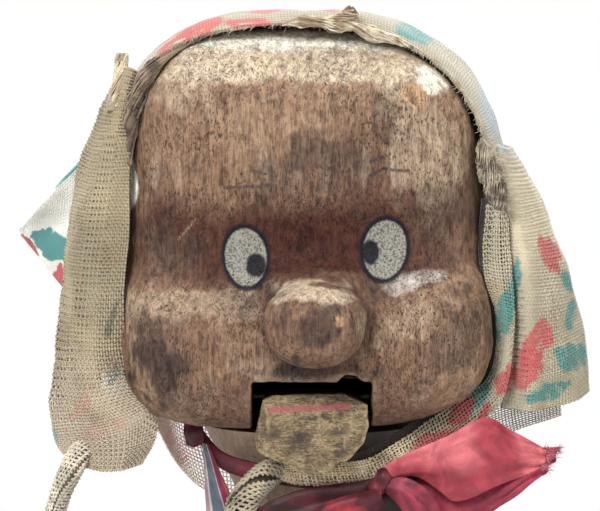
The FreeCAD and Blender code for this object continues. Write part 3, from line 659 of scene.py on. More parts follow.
MATERIALS = {
    "head": head_wood(),
    "jaw": jaw_wood(),
    "neck": wood("neck_wood", (0.09, 0.055, 0.036), (0.25, 0.17, 0.115), fine=1.3, pores=0.6, shine=0.55),
    # The neck post's left side is painted almost black: painted shade under the head.
    "neck_post": wood("neck_post_wood", (0.18, 0.115, 0.075), (0.48, 0.34, 0.24), fine=1.3, pores=0.6,
                      shine=0.6, shaded_side=True),
    "limb": wood("limb_wood", (0.15, 0.085, 0.05), (0.36, 0.22, 0.13), pores=0.6, shine=0.45),
    "rod": wood("rod_wood", (0.11, 0.062, 0.036), (0.29, 0.17, 0.1), pores=0.5, shine=0.42),
    "bamboo": wood("bamboo", (0.42, 0.31, 0.15), (0.68, 0.54, 0.3), fine=2.2, pores=0.35, shine=0.5),
    "steel": metal("steel_wire", (0.34, 0.33, 0.32), (0.1, 0.07, 0.05), 0.36),
    "brass": metal("old_brass", (0.66, 0.46, 0.18), (0.2, 0.13, 0.06), 0.3),
    "leather": leather(),
    "print": cloth("printed_linen", 0.95, 0.34, 0.5),
    "bleached": cloth("bleached_linen", 0.95, 0.12, 0.1, dirt=0.03),
    "yarn": yarn_cloth("linen_yarn"),
    "satin": satin("red_satin"),
    "blouse": cloth("blouse_cotton", 0.6, 0.16, 0.25, dirt=0.3),
    "skirt": cloth("skirt_cotton", 0.6, 0.16, 0.25, dirt=0.3),
    "sash": cloth("sash_cotton", 0.8, 0.25, 0.35, dirt=0.3),
    "cord": yarn_cloth("cotton_cord_yarn"),
    "hand": wood("hand_wood", (0.17, 0.1, 0.06), (0.42, 0.27, 0.17), fine=1.6, pores=0.5, shine=0.48),
    "cover": wood("cover_wood", (0.12, 0.07, 0.045), (0.32, 0.2, 0.125), fine=1.3, pores=0.6, shine=0.5),
}


def stand_for(piece, slot, *nodes):
    """Hides the CAD nodes that the piece replaces, and returns the piece. slot is not used."""
    if nodes:
        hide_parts(*nodes)
    return piece


# ---------------------------------------------------------------- the carved head and its jaw

HEAD_CELL, JAW_CELL, HAND_CELL, KNOT_CELL, SASH_CELL = 0.75, 0.5, 0.42, 0.4, 0.5


def bowed_jaw_line(p):
    """Rounds the lower edge of the cheeks, as seen from the front. The right cheek is the squarer one."""
    across = np.abs(p[..., 0] + 2.0) / 59.4
    down = np.maximum(30 - p[..., 2], 0) / 30
    power = np.where(p[..., 0] < -2, 2.8, 2.2)
    return ((across ** power + down ** power) ** (1 / power) - 1) * 30


def head_shape(p):
    level = turn_about(p, (0, 0, 55), 3)
    solid = round_box(p, (-57.8, -45, 24), (53.6, BACK, CROWN), 25)
    lean = (p[..., 0] - 42) * 0.69 + (p[..., 2] - 110.5) * 0.72
    solid = carve(solid, -lean, 14)
    solid = carve(solid, p[..., 0] * 0.79 - p[..., 2] * 0.61 + 106.6, 10)
    cheeks = round_box(level, (-59.6, -52, 3), (55.4, -6, 50), 21)
    lower = round_box(p, (-58.4, -46, 0), (54.5, BACK, 56), 16)
    solid = join(join(solid, lower, 5), cheeks, 7)
    solid = carve(solid, -bowed_jaw_line(p), 7)
    solid = carve(solid, capsule(level, (-75, -58.5, 57.5), (75, -58.5, 57.5), 17), 6)
    solid = carve(solid, capsule(p, (29, -53.2, 50.5), (54, -44, 56.5), 3.4), 4)
    solid = carve(solid, capsule(p, (-54, -46, 49.5), (-30, -53.6, 49), 3.2), 4)
    nose_top = ellipsoid(p, (1.0, -57, 38), (15.2, 12, 10.2))
    nose_tip = ellipsoid(p, (0.9, -57, 31.4), (13.6, 11.8, 8.8))
    nose = join(nose_top, nose_tip, 5)
    bridge = ellipsoid(p, (0.5, -45, 46.5), (14, 6.4, 5))
    solid = join(join(solid, nose, 2.2), bridge, 7)
    step_down = round_box(p, (-37, -60, 107.7), (37, -44.3, 140), 0.6)
    solid = carve(solid, step_down, 0.6)
    return solid


def head_openings(p, solid):
    """The jaw's slot and well, the access opening at the back, the pin's hole, and old chips."""
    cover_low, cover_high = box_mm("access_cover") - HEAD_BASE
    solid = carve(solid, round_box(p, (-18.1, -90, -20), (17.9, -28, 17.8), 0.8), 0.7)
    solid = carve(solid, round_box(p, (-18.1, -30, -20), (18.1, 6, 30), 0.8), 0.7)
    solid = carve(solid, round_box(p, (-10, 4, -20), (10, 26, 40), 0.8), 0.7)
    worn = [(6.4, 16), (17.6, 14), (17.8, 16), (13.2, 19.4), (10, 20), (8.6, 19)]
    notch = np.maximum(convex(p, worn, (0, 2)), p[..., 1] + 40)
    chip = capsule(p, (15.5, -54.5, 19.6), (20.5, -53.6, 15.4), 1.7)
    peel = round_box(turn_about(p, (35, -46, 106), 24), (28, -60, 102.5), (41, -43.6, 110), 1)
    edge_chip = ellipsoid(p, (-56.5, -37, 76), (2.2, 8, 9))
    for gouge, soft in ((notch, 0.6), (chip, 0.6), (edge_chip, 0.8)):
        solid = carve(solid, gouge, soft)
    solid = np.maximum(solid, -np.maximum(peel, -(p[..., 1] + 46.5)))
    crack = capsule(p, (-33, -53.5, 23.2), (-15, -53.5, 22.2), 1.0)
    solid = carve(solid, crack, 0.5)
    rebate = round_box(p, cover_low - 0.4, (cover_high[0] + 0.4, 90, cover_high[2] + 0.4), 0.6)
    solid = carve(solid, rebate, 0.5)
    solid = carve(solid, round_box(p, (-10, 20, 27), (10, 60, 50), 1), 0.5)
    return carve(solid, capsule(p, (-80, -8, 9), (80, -8, 9), 1.6), 0.4)


def spot(points, centre, radii, seed=0):
    """1 inside a ragged ellipse seen from the front, fading at its edge."""
    away = np.hypot((points[:, 0] - centre[0]) / radii[0], (points[:, 2] - centre[1]) / radii[1])
    return smooth(away + 0.8 * rough_noise(points * (1, 1, 0.55), 5, seed, 5), 1.3, 0.6)


# Marks seen from the front: centre, half sizes, strength and paint.
HEAD_MARKS = (
    ((13, 68.5), (2.6, 2.9), 0.8, "dark"), ((0, 87), (10, 8), 0.6, "dark"),
    ((-4, 80), (15, 6), 0.35, "dark"), ((-46, 21), (8, 7), 0.95, "dark"), ((-50, 33), (4, 5), 0.7, "dark"),
    ((-36, 14), (8, 5), 0.3, "dark"), ((44, 32), (7, 10), 0.6, "dark"), ((36, 24), (9, 6), 0.3, "dark"),
    ((46, 98), (9, 12), 0.5, "tan"), ((34, 84), (12, 14), 0.4, "bare"), ((44, 56), (9, 6), 0.4, "tan"),
    ((-18, 22), (6, 4), 0.35, "bare"), ((38, 68), (9, 11), 0.45, "dark"), ((-43, 58), (11, 9), 0.6, "dark"),
    ((22, 98), (5, 7), 0.5, "dark"), ((3.5, 36), (11, 7), 0.75, "dark"),
    # The first mark below, the dark band under the nose, is painted shadow.
    ((0, 20.6), (19, 3.4), 1.0, "dark"), ((-20, 45), (4, 6), 0.5, "dark"), ((18, 45), (4, 6), 0.4, "dark"),
    ((27, 46.4), (5.6, 2.1), 0.6, "chalk"), ((33.6, 48.8), (6, 2.2), 0.6, "chalk"),
    ((-1, 45.2), (13, 2.6), 0.85, "bare"), ((18.6, 45), (3.4, 2.4), 0.6, "dark"),
    ((-12.5, 46), (3, 2.4), 0.5, "dark"), ((8.2, 37.6), (1.0, 1.2), 0.7, "ochre"),
    ((24, 35), (9, 5), 0.35, "bare"), ((-22, 27), (10, 9), 0.4, "tan"), ((30, 30), (11, 8), 0.3, "tan"),
    ((32, 103.4), (4.6, 3), 0.8, "ochre"), ((36, 107.4), (7, 4), 0.6, "grey"),
    ((24, 106), (2.4, 4), 0.5, "bare"), ((-25, 92), (13, 9), 0.35, "tan"),
    ((-40, 102), (9, 7), 0.4, "bare"), ((-30, 111), (12, 6), 0.4, "bare"), ((0, 61), (20, 8), 0.6, "red"),
    ((-12, 96), (16, 6), 0.4, "tan"), ((-28, 66), (14, 5), 0.3, "red"),
)


def head_colours(points, hollow):
    """The stain, its dark patches, dirt and painted shade in the hollows, painted shadow under the nose,
    along the hood's edge and under the head, and where hands have rubbed it away.
    """
    x, z = points[:, 0], points[:, 2]
    wander = rough_noise(points * (1, 1, 0.5), 22, 5, 4)
    small = rough_noise(points * (1, 1, 0.6), 8, 9, 4)
    paints = {"brown": (0.158, 0.093, 0.06), "tan": (0.255, 0.165, 0.107), "dark": (0.05, 0.032, 0.028),
              "red": (0.05, 0.016, 0.011), "bare": (0.4, 0.325, 0.235), "ochre": (0.4, 0.25, 0.14),
              "chalk": (0.42, 0.39, 0.35), "grey": (0.76, 0.76, 0.66), "mouth_paint_and_shade": (0.012, 0.006, 0.006)}
    colour = plain(paints["brown"])(points)

    def lay(share, paint):
        nonlocal colour
        colour = laid(colour, paints[paint], np.clip(share, 0, 1))

    lay(smooth(wander, -0.1, 0.7) * 0.5, "tan")
    lay(smooth(small, 0.1, 0.8) * 0.4, "dark")
    lay(smooth(rough_noise(points * (1, 1, 0.3), 4, 27, 4), 0.1, 0.7) * 0.3, "bare")
    lay(smooth(z + 4 * wander, 86, 66) * smooth(np.abs(x) + 8 * wander, 50, 22) * 0.6, "red")
    brow = z + 1.5 * small - 45.5 - 3.5 * smooth(np.abs(x), 20, 14) - 5 * smooth(x, 34, 50)
    lay(smooth(brow, -1, 2.5) * smooth(z + 5 * wander, 76, 62) * 0.5, "red")
    middle = smooth(np.abs(x - 1) + 3 * small, 50, 20)
    lay(smooth(brow, 0, 2) * smooth(z + 4 * wander, 70, 58) * middle * 0.6, "red")
    lay(smooth(brow, 0, -2) * smooth(z + 2 * small, 35, 39) * smooth(x + 3 * small, -12, -18) * 0.5, "bare")
    lay(smooth(z + 3 * wander, 84, 100) * 0.45, "tan")
    lay(smooth(z + 1.2 * small, 106.2, 108.6) * smooth(np.abs(x) + 4 * small, 52, 36), "bare")
    lay(smooth(z + 1.6 * small + 1.5 * wander, 115, 118.5) * 0.85, "grey")
    lay(smooth(z + 3 * small + 2 * wander, 52, 42) * 0.3, "tan")
    lay(smooth(z + 4 * wander, 20, 4) * 0.2, "dark")
    for centre, radii, share, paint in HEAD_MARKS:
        lay(spot(points, centre, radii, int(centre[0]) + 60) * share, paint)
    # Dirt and painted shade: darker the deeper the hollow.
    lay(smooth(hollow + 0.12 * small, 0.25, 0.95) * 0.62, "dark")
    lay(smooth(x + 0.6 * small + np.where(z > 74, 1.6, 5) * ((z - 74) / 8.6) ** 2, -52.4, -53.4), "grey")
    # Painted shadow: a dark line on the head just inside the hood's front edge.
    edge = curve(upright([RIM])[0])(np.linspace(0, 1, 90))[:, [0, 2]]
    gap = np.full(len(points), 9.0)
    for place in edge:
        gap = np.minimum(gap, np.hypot(x - place[0], z - place[1]))
    lay(smooth(gap + 0.4 * small, 2.6, 1.0) * smooth(z, 76, 84) * smooth(points[:, 1], 0, -8) * 0.93,
        "mouth_paint_and_shade")
    # Near black in the jaw's well, for the inner mouth's dark paint and painted shade, and on the head's
    # underside as painted shade.
    well = (np.abs(x) < 18.6) & (z < 31) & (points[:, 1] < 27) & (points[:, 1] > -49.5)
    lay((well | (z < -0.2)) * 0.93, "mouth_paint_and_shade")
    return colour


def knife_cuts(points, normal, seed, depth, size=6.0):
    """Moves points in and out as the flat cuts of a knife would."""
    cuts = np.abs(noise(points * (1, 1, 0.55), size, seed))
    cuts = cuts + 0.5 * np.abs(noise(points, size * 0.45, seed + 1))
    return points + normal * ((0.35 - cuts) * depth)[:, None]


def build_head():
    block = Block((-62, -72, -2.4), (60, BACK + 2.4, CROWN + 2.4), HEAD_CELL)
    solid = head_openings(block.p, head_shape(block.p))
    points, faces = block.mesh(solid)
    normal, _ = normals_and_wear(points, faces)
    hollow = 0
    for far in (3.0, 7.0):
        cell = np.round((points + normal * far - block.low) / block.step).astype(int)
        cell = np.clip(cell, 0, np.array(solid.shape) - 1)
        hollow = hollow + 0.5 * (1 - solid[tuple(cell.T)] / far)
    points = knife_cuts(points, normal, 21, 0.55)
    _, wear = normals_and_wear(points, faces)
    piece = make_mesh("carved_head", points, faces, MATERIALS["head"], ROOT, HEAD_BASE,
                      colours=head_colours(points, hollow), wear=wear)
    stand_for(piece, "carved_wood", "head")


def convex(p, corners, axes):
    """Distance from the outline through the corners, listed with the solid on the left."""
    first, second = (p[..., a] for a in axes)
    sides = []
    for (a0, b0), (a1, b1) in zip(corners, corners[1:] + corners[:1]):
        length = math.hypot(a1 - a0, b1 - b0)
        sides.append(((first - a0) * (b1 - b0) - (second - b0) * (a1 - a0)) / length)
    return np.max(sides, axis=0)


def build_jaw():
    block = Block((-19, -54, -13), (19.5, 13, 16), JAW_CELL)
    p = block.p
    face = [(-17.2, 0.2), (-16.6, -3.2), (-2.9, -10.4), (4.2, -9.9), (11.1, -5.8), (15.6, -0.5),
            (17.1, 4.6), (16.7, 10.6), (9.2, 13.7), (-12, 13.2), (-14.7, 11.8)]
    side = [(-50.6, -1.5), (-47.8, -10.5), (-41, -10.5), (-40.8, 13.6), (-47.5, 13.9), (-50.9, 8.6)]
    chin = np.maximum(convex(p, face, (0, 2)), convex(p, side, (1, 2)))
    bevel = (p[..., 2] - 9.4) * 0.8 - (p[..., 1] + 50.3) * 0.6
    left_cut = -(p[..., 0] + 14.2) * 0.8 - (p[..., 1] + 49.5) * 0.6
    chin = np.maximum(np.maximum(chin, bevel - 0.6), left_cut)
    arm = round_box(p, (-14.5, -42, 6.2), (14.5, -3, 12.6), 0.8)
    tail = round_box(p, (-7.6, -6, 6.6), (7.6, 11, 12.2), 0.8)
    solid = join(join(chin, arm, 0.8), tail, 0.8)
    solid = carve(solid, capsule(p, (-30, -8, 9), (30, -8, 9), 0.9), 0.2)
    points, faces = block.mesh(solid)
    normal, _ = normals_and_wear(points, faces)
    points = knife_cuts(points, normal, 33, 0.8, 4.0)
    _, wear = normals_and_wear(points, faces)
    stand_for(make_mesh("carved_jaw", points, faces, MATERIALS["jaw"], "jaw", HEAD_BASE, wear=wear),
              "jaw_wood", "jaw_block")


# ---------------------------------------------------------------- cloth: lofted sheets and single yarns


def loft(*rails):
    """A surface through the rails: u runs along them and v across them."""
    lines = [curve(rail) for rail in rails]

    def at(u, v):
        u, v = np.broadcast_arrays(np.asarray(u, float), np.asarray(v, float))
        grid = np.array([line(u) for line in lines])
        grid = np.concatenate([2 * grid[:1] - grid[1:2], grid, 2 * grid[-1:] - grid[-2:-1]])
        along = np.clip(v, 0, 1) * (len(lines) - 1)
        i = np.minimum(along.astype(int), len(lines) - 2)
        a, b, c, d = (np.take_along_axis(grid, (i + k)[None, ..., None], 0)[0] for k in range(4))
        return spline(a, b, c, d, (along - i)[..., None])

    return at


def surface_normal(surface, u, v):
    e = 2e-3
    along = surface(np.minimum(u + e, 1), v) - surface(np.maximum(u - e, 0), v)
    across = surface(u, np.minimum(v + e, 1)) - surface(u, np.maximum(v - e, 0))
    return unit(np.cross(along, across))


def creased(surface, depth, size, seed, hold=0.0):
    """The same cloth with soft creases. hold keeps its edges in place by that share of its width."""

    def at(u, v):
        base = surface(u, v)
        share = 1.0
        if hold:
            share = smooth(np.minimum(np.minimum(u, 1 - u), np.minimum(v, 1 - v)), 0, hold)[..., None]
        bumps = rough_noise(base, size, seed, 2)[..., None]
        return base + surface_normal(surface, u, v) * bumps * depth * share

    return at


YARN_DRIFT = 0.25


def woven(name, surface, count, radius, colour, seed, bulge=0.32):
    """Scarf cloth built of single yarns that pass over and under each other.

    count is how many yarns lie each way.
    """
    random = np.random.default_rng(seed)
    paths, sizes = [], []
    for family in (0, 1):
        total, other = count if family == 0 else count[::-1]
        which = (np.arange(total) + 0.5) / total
        steps = np.linspace(0, 1, 2 * other + 1)
        a, b = np.meshgrid(which, steps, indexing="ij")
        drift = noise(np.stack([a * 9, b * 5, 0 * a + family * 3 + seed], -1), 1.0,
                      seed + family) * YARN_DRIFT / total
        a = a + drift
        u, v = (a, b) if family == 0 else (b, a)
        swing = np.sin(math.pi * b * other) * np.where(np.arange(total) % 2, -1,
                                                       1)[:, None] * (1 - 2 * family)
        points = surface(u, v) + surface_normal(surface, u, v) * (swing * bulge)[..., None]
        paths += list(points)
        sizes += list(radius * random.uniform(0.86, 1.16, total))
    return stand_for(tubes(name, paths, sizes, MATERIALS["yarn"], colour=colour), "printed_linen")


def fringe(name, edge, outward, count, length, radius, colour, slot, seed, body=ROOT, origin=HEAD_BASE):
    """Loose thread ends along a frayed edge. edge and outward are functions of t from 0 to 1."""
    random = np.random.default_rng(seed)
    paths = []
    for t in np.sort(random.uniform(0, 1, count)):
        start = edge(t)
        way = unit(outward(t) + random.normal(0, 0.45, 3))
        bend = random.normal(0, 0.5, 3)
        reach_out = length * random.uniform(0.35, 1.0)
        k = np.linspace(0, 1, 5)[:, None]
        paths.append(start + way * k * reach_out + bend * k ** 2 * reach_out * 0.5)
    return stand_for(tubes(name, paths, radius, MATERIALS["yarn"], body, origin, taper=0.5, colour=colour),
                     slot)


def laid(colour, paint, share):
    """The colours with a paint laid over them, by each point's share from 0 to 1."""
    share = np.asarray(share)[:, None]
    return np.array(colour) * (1 - share) + np.array(paint) * share


def plain(paint):
    """A colour function that gives every point the same paint."""
    return lambda points: np.repeat([paint], len(points), 0)


def motif(points, centre, way, half, paint, colour, seed, share, ragged=0.4):
    """Lays a leaf or petal, seen from the front, over the colours of the points."""
    way = np.array(way, float) / math.hypot(*way)
    flat = points[:, [0, 2]] - centre
    along, across = flat @ way, flat @ (-way[1], way[0])
    taper = 1 - 0.35 * np.clip(along / half[0], -1, 1) ** 2
    away = np.hypot(along / half[0], across / (half[1] * taper)) + ragged * rough_noise(points, 3.2, seed)
    return laid(colour, paint, smooth(away, 1.1, 0.92) * share)


# Leaves and petals of the print, seen from the front: centre, direction, half length and width, and paint.
FRONT_MOTIFS = (
    ((72.8, 54.6), (0.4, -1), (6.6, 3.4), RED), ((61.4, 46), (0.12, 1), (10, 1.7), TEAL),
    ((58.2, 37), (0.08, 1), (9, 2.3), TEAL), ((78.4, 45.6), (0.5, -1), (3.6, 2.4), TEAL),
    ((79.6, 35.6), (-0.3, -1), (4.8, 1.8), TEAL), ((68.2, 27.8), (0.55, 1), (8.0, 3.9), RED),
    ((64.5, 20.0), (0.8, 1), (7.4, 5.2), RED), ((58.4, 16), (0.6, 1), (4.4, 3.2), RED),
    ((79.8, 22.8), (1, -0.5), (6.4, 4.2), TEAL), ((71.4, 12.6), (1, 0.3), (7.8, 2.6), TEAL),
    ((50.2, 14.2), (0.45, 1), (7.6, 3.4), TEAL), ((45.4, 7.4), (0.7, 1), (5.4, 3.0), RED),
    ((52, 6), (0.3, 1), (4.0, 1.6), RED), ((36.5, -1.5), (1, 0.35), (10, 2.2), RED),
    ((31.0, 121.4), (1, -0.35), (6.2, 2.6), TEAL), ((54.8, 97), (0.35, -1), (11, 3.0), PALE_BLUE),
    ((-41, 118.5), (0.9, 0.8), (8, 2.2), RED), ((-33, 123.4), (1, 0.45), (6, 2.4), RED),
    ((-14, 128.6), (1, 0.05), (6.5, 1.3), RED), ((-17, 124.6), (1, 0.0), (8, 1.5), RED),
    ((5, 129.2), (1, 0), (6, 1.1), RED), ((-25, 130), (1, 0.1), (5, 0.9), TEAL),
)
WING_MOTIFS = (
    ((-80.8, 56.0), (1, -0.5), (6.8, 4.2), TEAL), ((-88.6, 56.5), (0.8, -1), (4.6, 1.6), RED),
    ((-77.6, 44.6), (-0.35, 1), (6.2, 3.2), RED), ((-77, 77), (1, 0.9), (12, 0.8), TEAL),
)
REVERSE_MOTIFS = (
    ((-60.6, 35), (0.3, 1), (5, 1.2), DARK_TEAL, 0.6),
    ((-60.4, 18.5), (0.5, 1), (4.2, 1.6), DARK_TEAL, 0.6), ((-70, 8), (1, 1.4), (7, 2.4), RED, 0.2),
    ((-64, 2), (1, 0.5), (6, 2.0), RED, 0.16), ((-79, -4), (0.2, 1), (6, 1.2), TEAL, 0.4),
)


SPRIG_SEED, SPRIG_SPACING = 70, 34


def sprigs(points, colour):
    """The same kind of red flowers and teal leaves, scattered over the sides and the back of the cloth."""
    random = np.random.default_rng(SPRIG_SEED)
    low, high = points.min(0), points.max(0)
    steps = np.maximum(((high - low) / SPRIG_SPACING).astype(int), 1)
    for cell in np.ndindex(*steps):
        centre = low + (np.array(cell) + random.uniform(0.2, 0.8, 3)) * (high - low) / steps
        turn = unit(random.normal(0, 1, 3))
        if centre[1] < 2:
            continue
        for i in range(4):
            paint = RED if i == 0 else TEAL if i < 3 else PALE_BLUE
            way = unit(np.cross(turn, random.normal(0, 1, 3)))
            heart = centre + way * (0, 11, 10, 14)[i]
            flat = points - heart
            along = flat @ way
            across = np.linalg.norm(flat - along[:, None] * way, axis=1)
            half = ((6.5, 6.0), (7.5, 3.0), (6.5, 2.6), (4.0, 3.2))[i]
            away = np.hypot(along / half[0], across / half[1])
            away = away + 0.25 * rough_noise(points, 3.5, SPRIG_SEED + i)
            colour = laid(colour, paint, smooth(away, 1.1, 0.92))
    return colour


def printed(points):
    """Colours of the scarf's printed face."""
    fade = smooth(rough_noise(points, 26, 12), -0.6, 0.8)[:, None]
    shade = 1 - 0.16 * smooth(points[:, 2], 74, 82)[:, None]
    colour = np.array(PRINT_GROUND) * (0.78 + 0.22 * fade) * shade
    brown = smooth(rough_noise(points, 15, 17), 0.0, 0.8) * smooth(points[:, 2], 64, 44) * 0.5
    colour = laid(colour, (0.45, 0.34, 0.2), brown)
    light = smooth(points[:, 0], 56, 61) * smooth(points[:, 2], 46, 60) * smooth(points[:, 2], 88, 78)
    colour = colour * (1 + 0.35 * light[:, None])
    front = smooth(points[:, 1], 14, 8)[:, None]
    for i, (centre, way, half, paint) in enumerate(FRONT_MOTIFS):
        paint = np.array(paint) * 0.9 + 0.1 * np.array(PRINT_GROUND)
        drawn = motif(points, np.array(centre), way, half, paint, colour, i + 40, 0.88)
        colour = colour + (drawn - colour) * front
    colour = sprigs(points, colour)
    worn = smooth(rough_noise(points, 3.0, 90), 0.35, 0.9) * 0.5
    return laid(colour, np.array(PRINT_GROUND) * 0.95, worn)


def bleached(points):
    """Colours of the corner of the scarf that has kept its white ground."""
    colour = np.array((1.0, 1.0, 0.95)) * (0.92 + 0.15 * rough_noise(points, 8, 13)[:, None])
    for i, (centre, way, half, paint) in enumerate(WING_MOTIFS):
        colour = motif(points, np.array(centre), way, half, paint, colour, i + 20, 0.9)
    return colour


def reverse_side(points):
    """Colours of the scarf's plain back: dull linen, with the print showing faintly through."""
    fade = smooth(rough_noise(points, 20, 31), -0.7, 0.7)[:, None]
    # Darker towards the top, under the hood's edge: painted shade, as on the printed face.
    colour = np.array(LINEN) * (0.68 + 0.3 * fade) * (1 - 0.2 * smooth(points[:, 2], 68, 84)[:, None])
    colour = laid(colour, (0.56, 0.48, 0.38), smooth(points[:, 2], 34, 8) * 0.6)
    for centre, way, half, paint, share in REVERSE_MOTIFS:
        colour = motif(points, np.array(centre), way, half, paint, colour, 3, share, 0.9)
    return laid(colour, (0.27, 0.19, 0.11), smooth(rough_noise(points, 11, 8), 0.1, 0.9) * 0.5)


def tie_colours(points):
    """Printed cloth that turns to dull and worn towards the knot under the chin, where its plain colour is
    doubled in brightness as painted light.
    """
    # Painted light: the plain colour is laid about twice as bright, against the shadow under the jaw.
    dull = rag((0.5, 0.44, 0.32), (0.3, 0.24, 0.16), 4, 93)(points) * 2.1
    return laid(printed(points), dull, smooth(points[:, 0], 34, 24) * 0.85)


def net_colours(points):
    """Colours of the worn hem: almost white, and stained pink in places."""
    pink = smooth(rough_noise(points, 6, 19) - points[:, 0] / 80, 0.3, 1.2) * 0.6
    lit = 1 + 0.2 * smooth(points[:, 0], 0, -30)[:, None] - 0.2 * smooth(points[:, 0], 40, 60)[:, None]
    return laid((0.86, 0.82, 0.74), (0.8, 0.44, 0.48), pink) * lit


# Stations of the hood run from the puppet's right temple over the crown to its left temple.
RIM = [(-55.3, 88, -34), (-54.2, 99, -34.5), (-48.6, 112.6, -35), (-31, 121.9, -35.5), (-4, 124.6, -35.5),
       (23, 120.8, -35.5), (41.2, 109.4, -36), (50.6, 94, -35.5), (54.8, 74, -33)]
HOOD = (
    RIM,
    [(-57.8, 84, -26), (-55.6, 99, -27), (-49.4, 114, -27), (-31.6, 125.2, -28), (-4, 128, -28),
     (23.6, 125.2, -28), (42.8, 112.2, -28), (53.6, 95, -27), (60, 75, -24)],
    [(-60.6, 76, -8), (-58.6, 99, -6), (-49.4, 115.4, -4), (-30.6, 125.4, -4), (0, 128.2, -4),
     (26.4, 125.4, -4), (45, 113.4, -4), (55.8, 96.8, -6), (62, 75, -6)],
    [(-61, 76, 16), (-58.8, 99, 18), (-49.2, 115.6, 19), (-28, 124.2, 20), (0, 126.2, 20),
     (26.4, 124.4, 20), (45.2, 113.8, 19), (55.8, 97.2, 18), (61.5, 75, 16)],
    [(-58.5, 74, 38), (-56, 95, 40), (-46, 112.5, 41), (-25, 119.6, 42), (0, 120.6, 42), (25, 119.6, 42),
     (45, 112, 41), (54.6, 95, 40), (58.5, 74, 38)],
    [(-47, 72, 48.5), (-44, 84, 50), (-35, 94, 51), (-19, 99, 51.5), (0, 100, 51.5), (19, 99, 51.5),
     (35, 94, 51), (44, 84, 50), (48, 72, 48.5)],
)


def upright(rails):
    """Rails written as (x, z, y), the way they are seen from the front, turned to (x, y, z)."""
    return [[(x, y, z) for x, z, y in rail] for rail in rails]


def pleated(surface, depth, count, start=0.0, phase=0.0):
    """The same cloth with soft upright folds that deepen along u."""

    def at(u, v):
        wave = np.sin(2 * math.pi * (v * count + phase) + 1.3 * np.sin(3 * u)) * smooth(u, start, 1)
        return surface(u, v) + surface_normal(surface, u, v) * (wave * depth)[..., None]

    return at


def spine(stations, count=200):
    """A line through the stations, and two directions across it at every point, as functions of u."""
    path = curve(upright([stations])[0])(np.linspace(0, 1, count))
    along = unit(np.gradient(path, axis=0))
    across = unit(np.cross(along, (0.2, 1, 0.1)))
    table = np.stack([path, across, np.cross(along, across)])

    def at(u):
        place = np.clip(u, 0, 1) * (count - 1)
        i = np.minimum(place.astype(int), count - 2)
        share = (place - i)[..., None]
        return table[:, i] * (1 - share) + table[:, i + 1] * share

    return at


def bundle(name, stations, radius, strands, thick, paint, seed, spread=0.5):
    """A frayed roll of cloth: a dark core under loose strands. radius is a function of the length."""
    random = np.random.default_rng(seed)
    at = spine(stations)
    t = np.linspace(0, 1, 60)
    path, across, up = at(t)
    swell = radius(t)
    core = path + np.stack([noise(path, 2.5, seed + k) for k in range(3)], -1) * 0.5

    # The core is laid darker than its strands: painted shade between them.
    def dull(points):
        return paint(points) * 0.55

    stand_for(tubes(name + "_core", [core], lambda s: np.interp(s, t, swell) * 0.85, MATERIALS["yarn"],
                    sides=12, colour=dull), "printed_linen")
    paths = []
    for k in range(strands):
        start, end = random.uniform(0, 0.35), random.uniform(0.65, 1)
        s = start + (end - start) * t
        path, across, up = at(s)
        turn = 2 * math.pi * (k / strands + random.uniform(0.4, 0.9) * s)
        lump = 1 + spread * rough_noise(path, 3.0, seed + k)[:, None] * 0.5
        out = np.interp(s, t, swell)[:, None] * lump
        paths.append(path + (across * np.cos(turn)[:, None] + up * np.sin(turn)[:, None]) * out)
    sizes = list(thick * random.uniform(0.7, 1.3, strands))
    stand_for(tubes(name, paths, sizes, MATERIALS["yarn"], sides=4, colour=paint), "printed_linen")


def rag(light, dark, size, seed):
    """A colour function between two colours, in patches of about the given size."""

    return lambda points: laid(dark, light, smooth(rough_noise(points, size, seed), -0.5, 0.6))


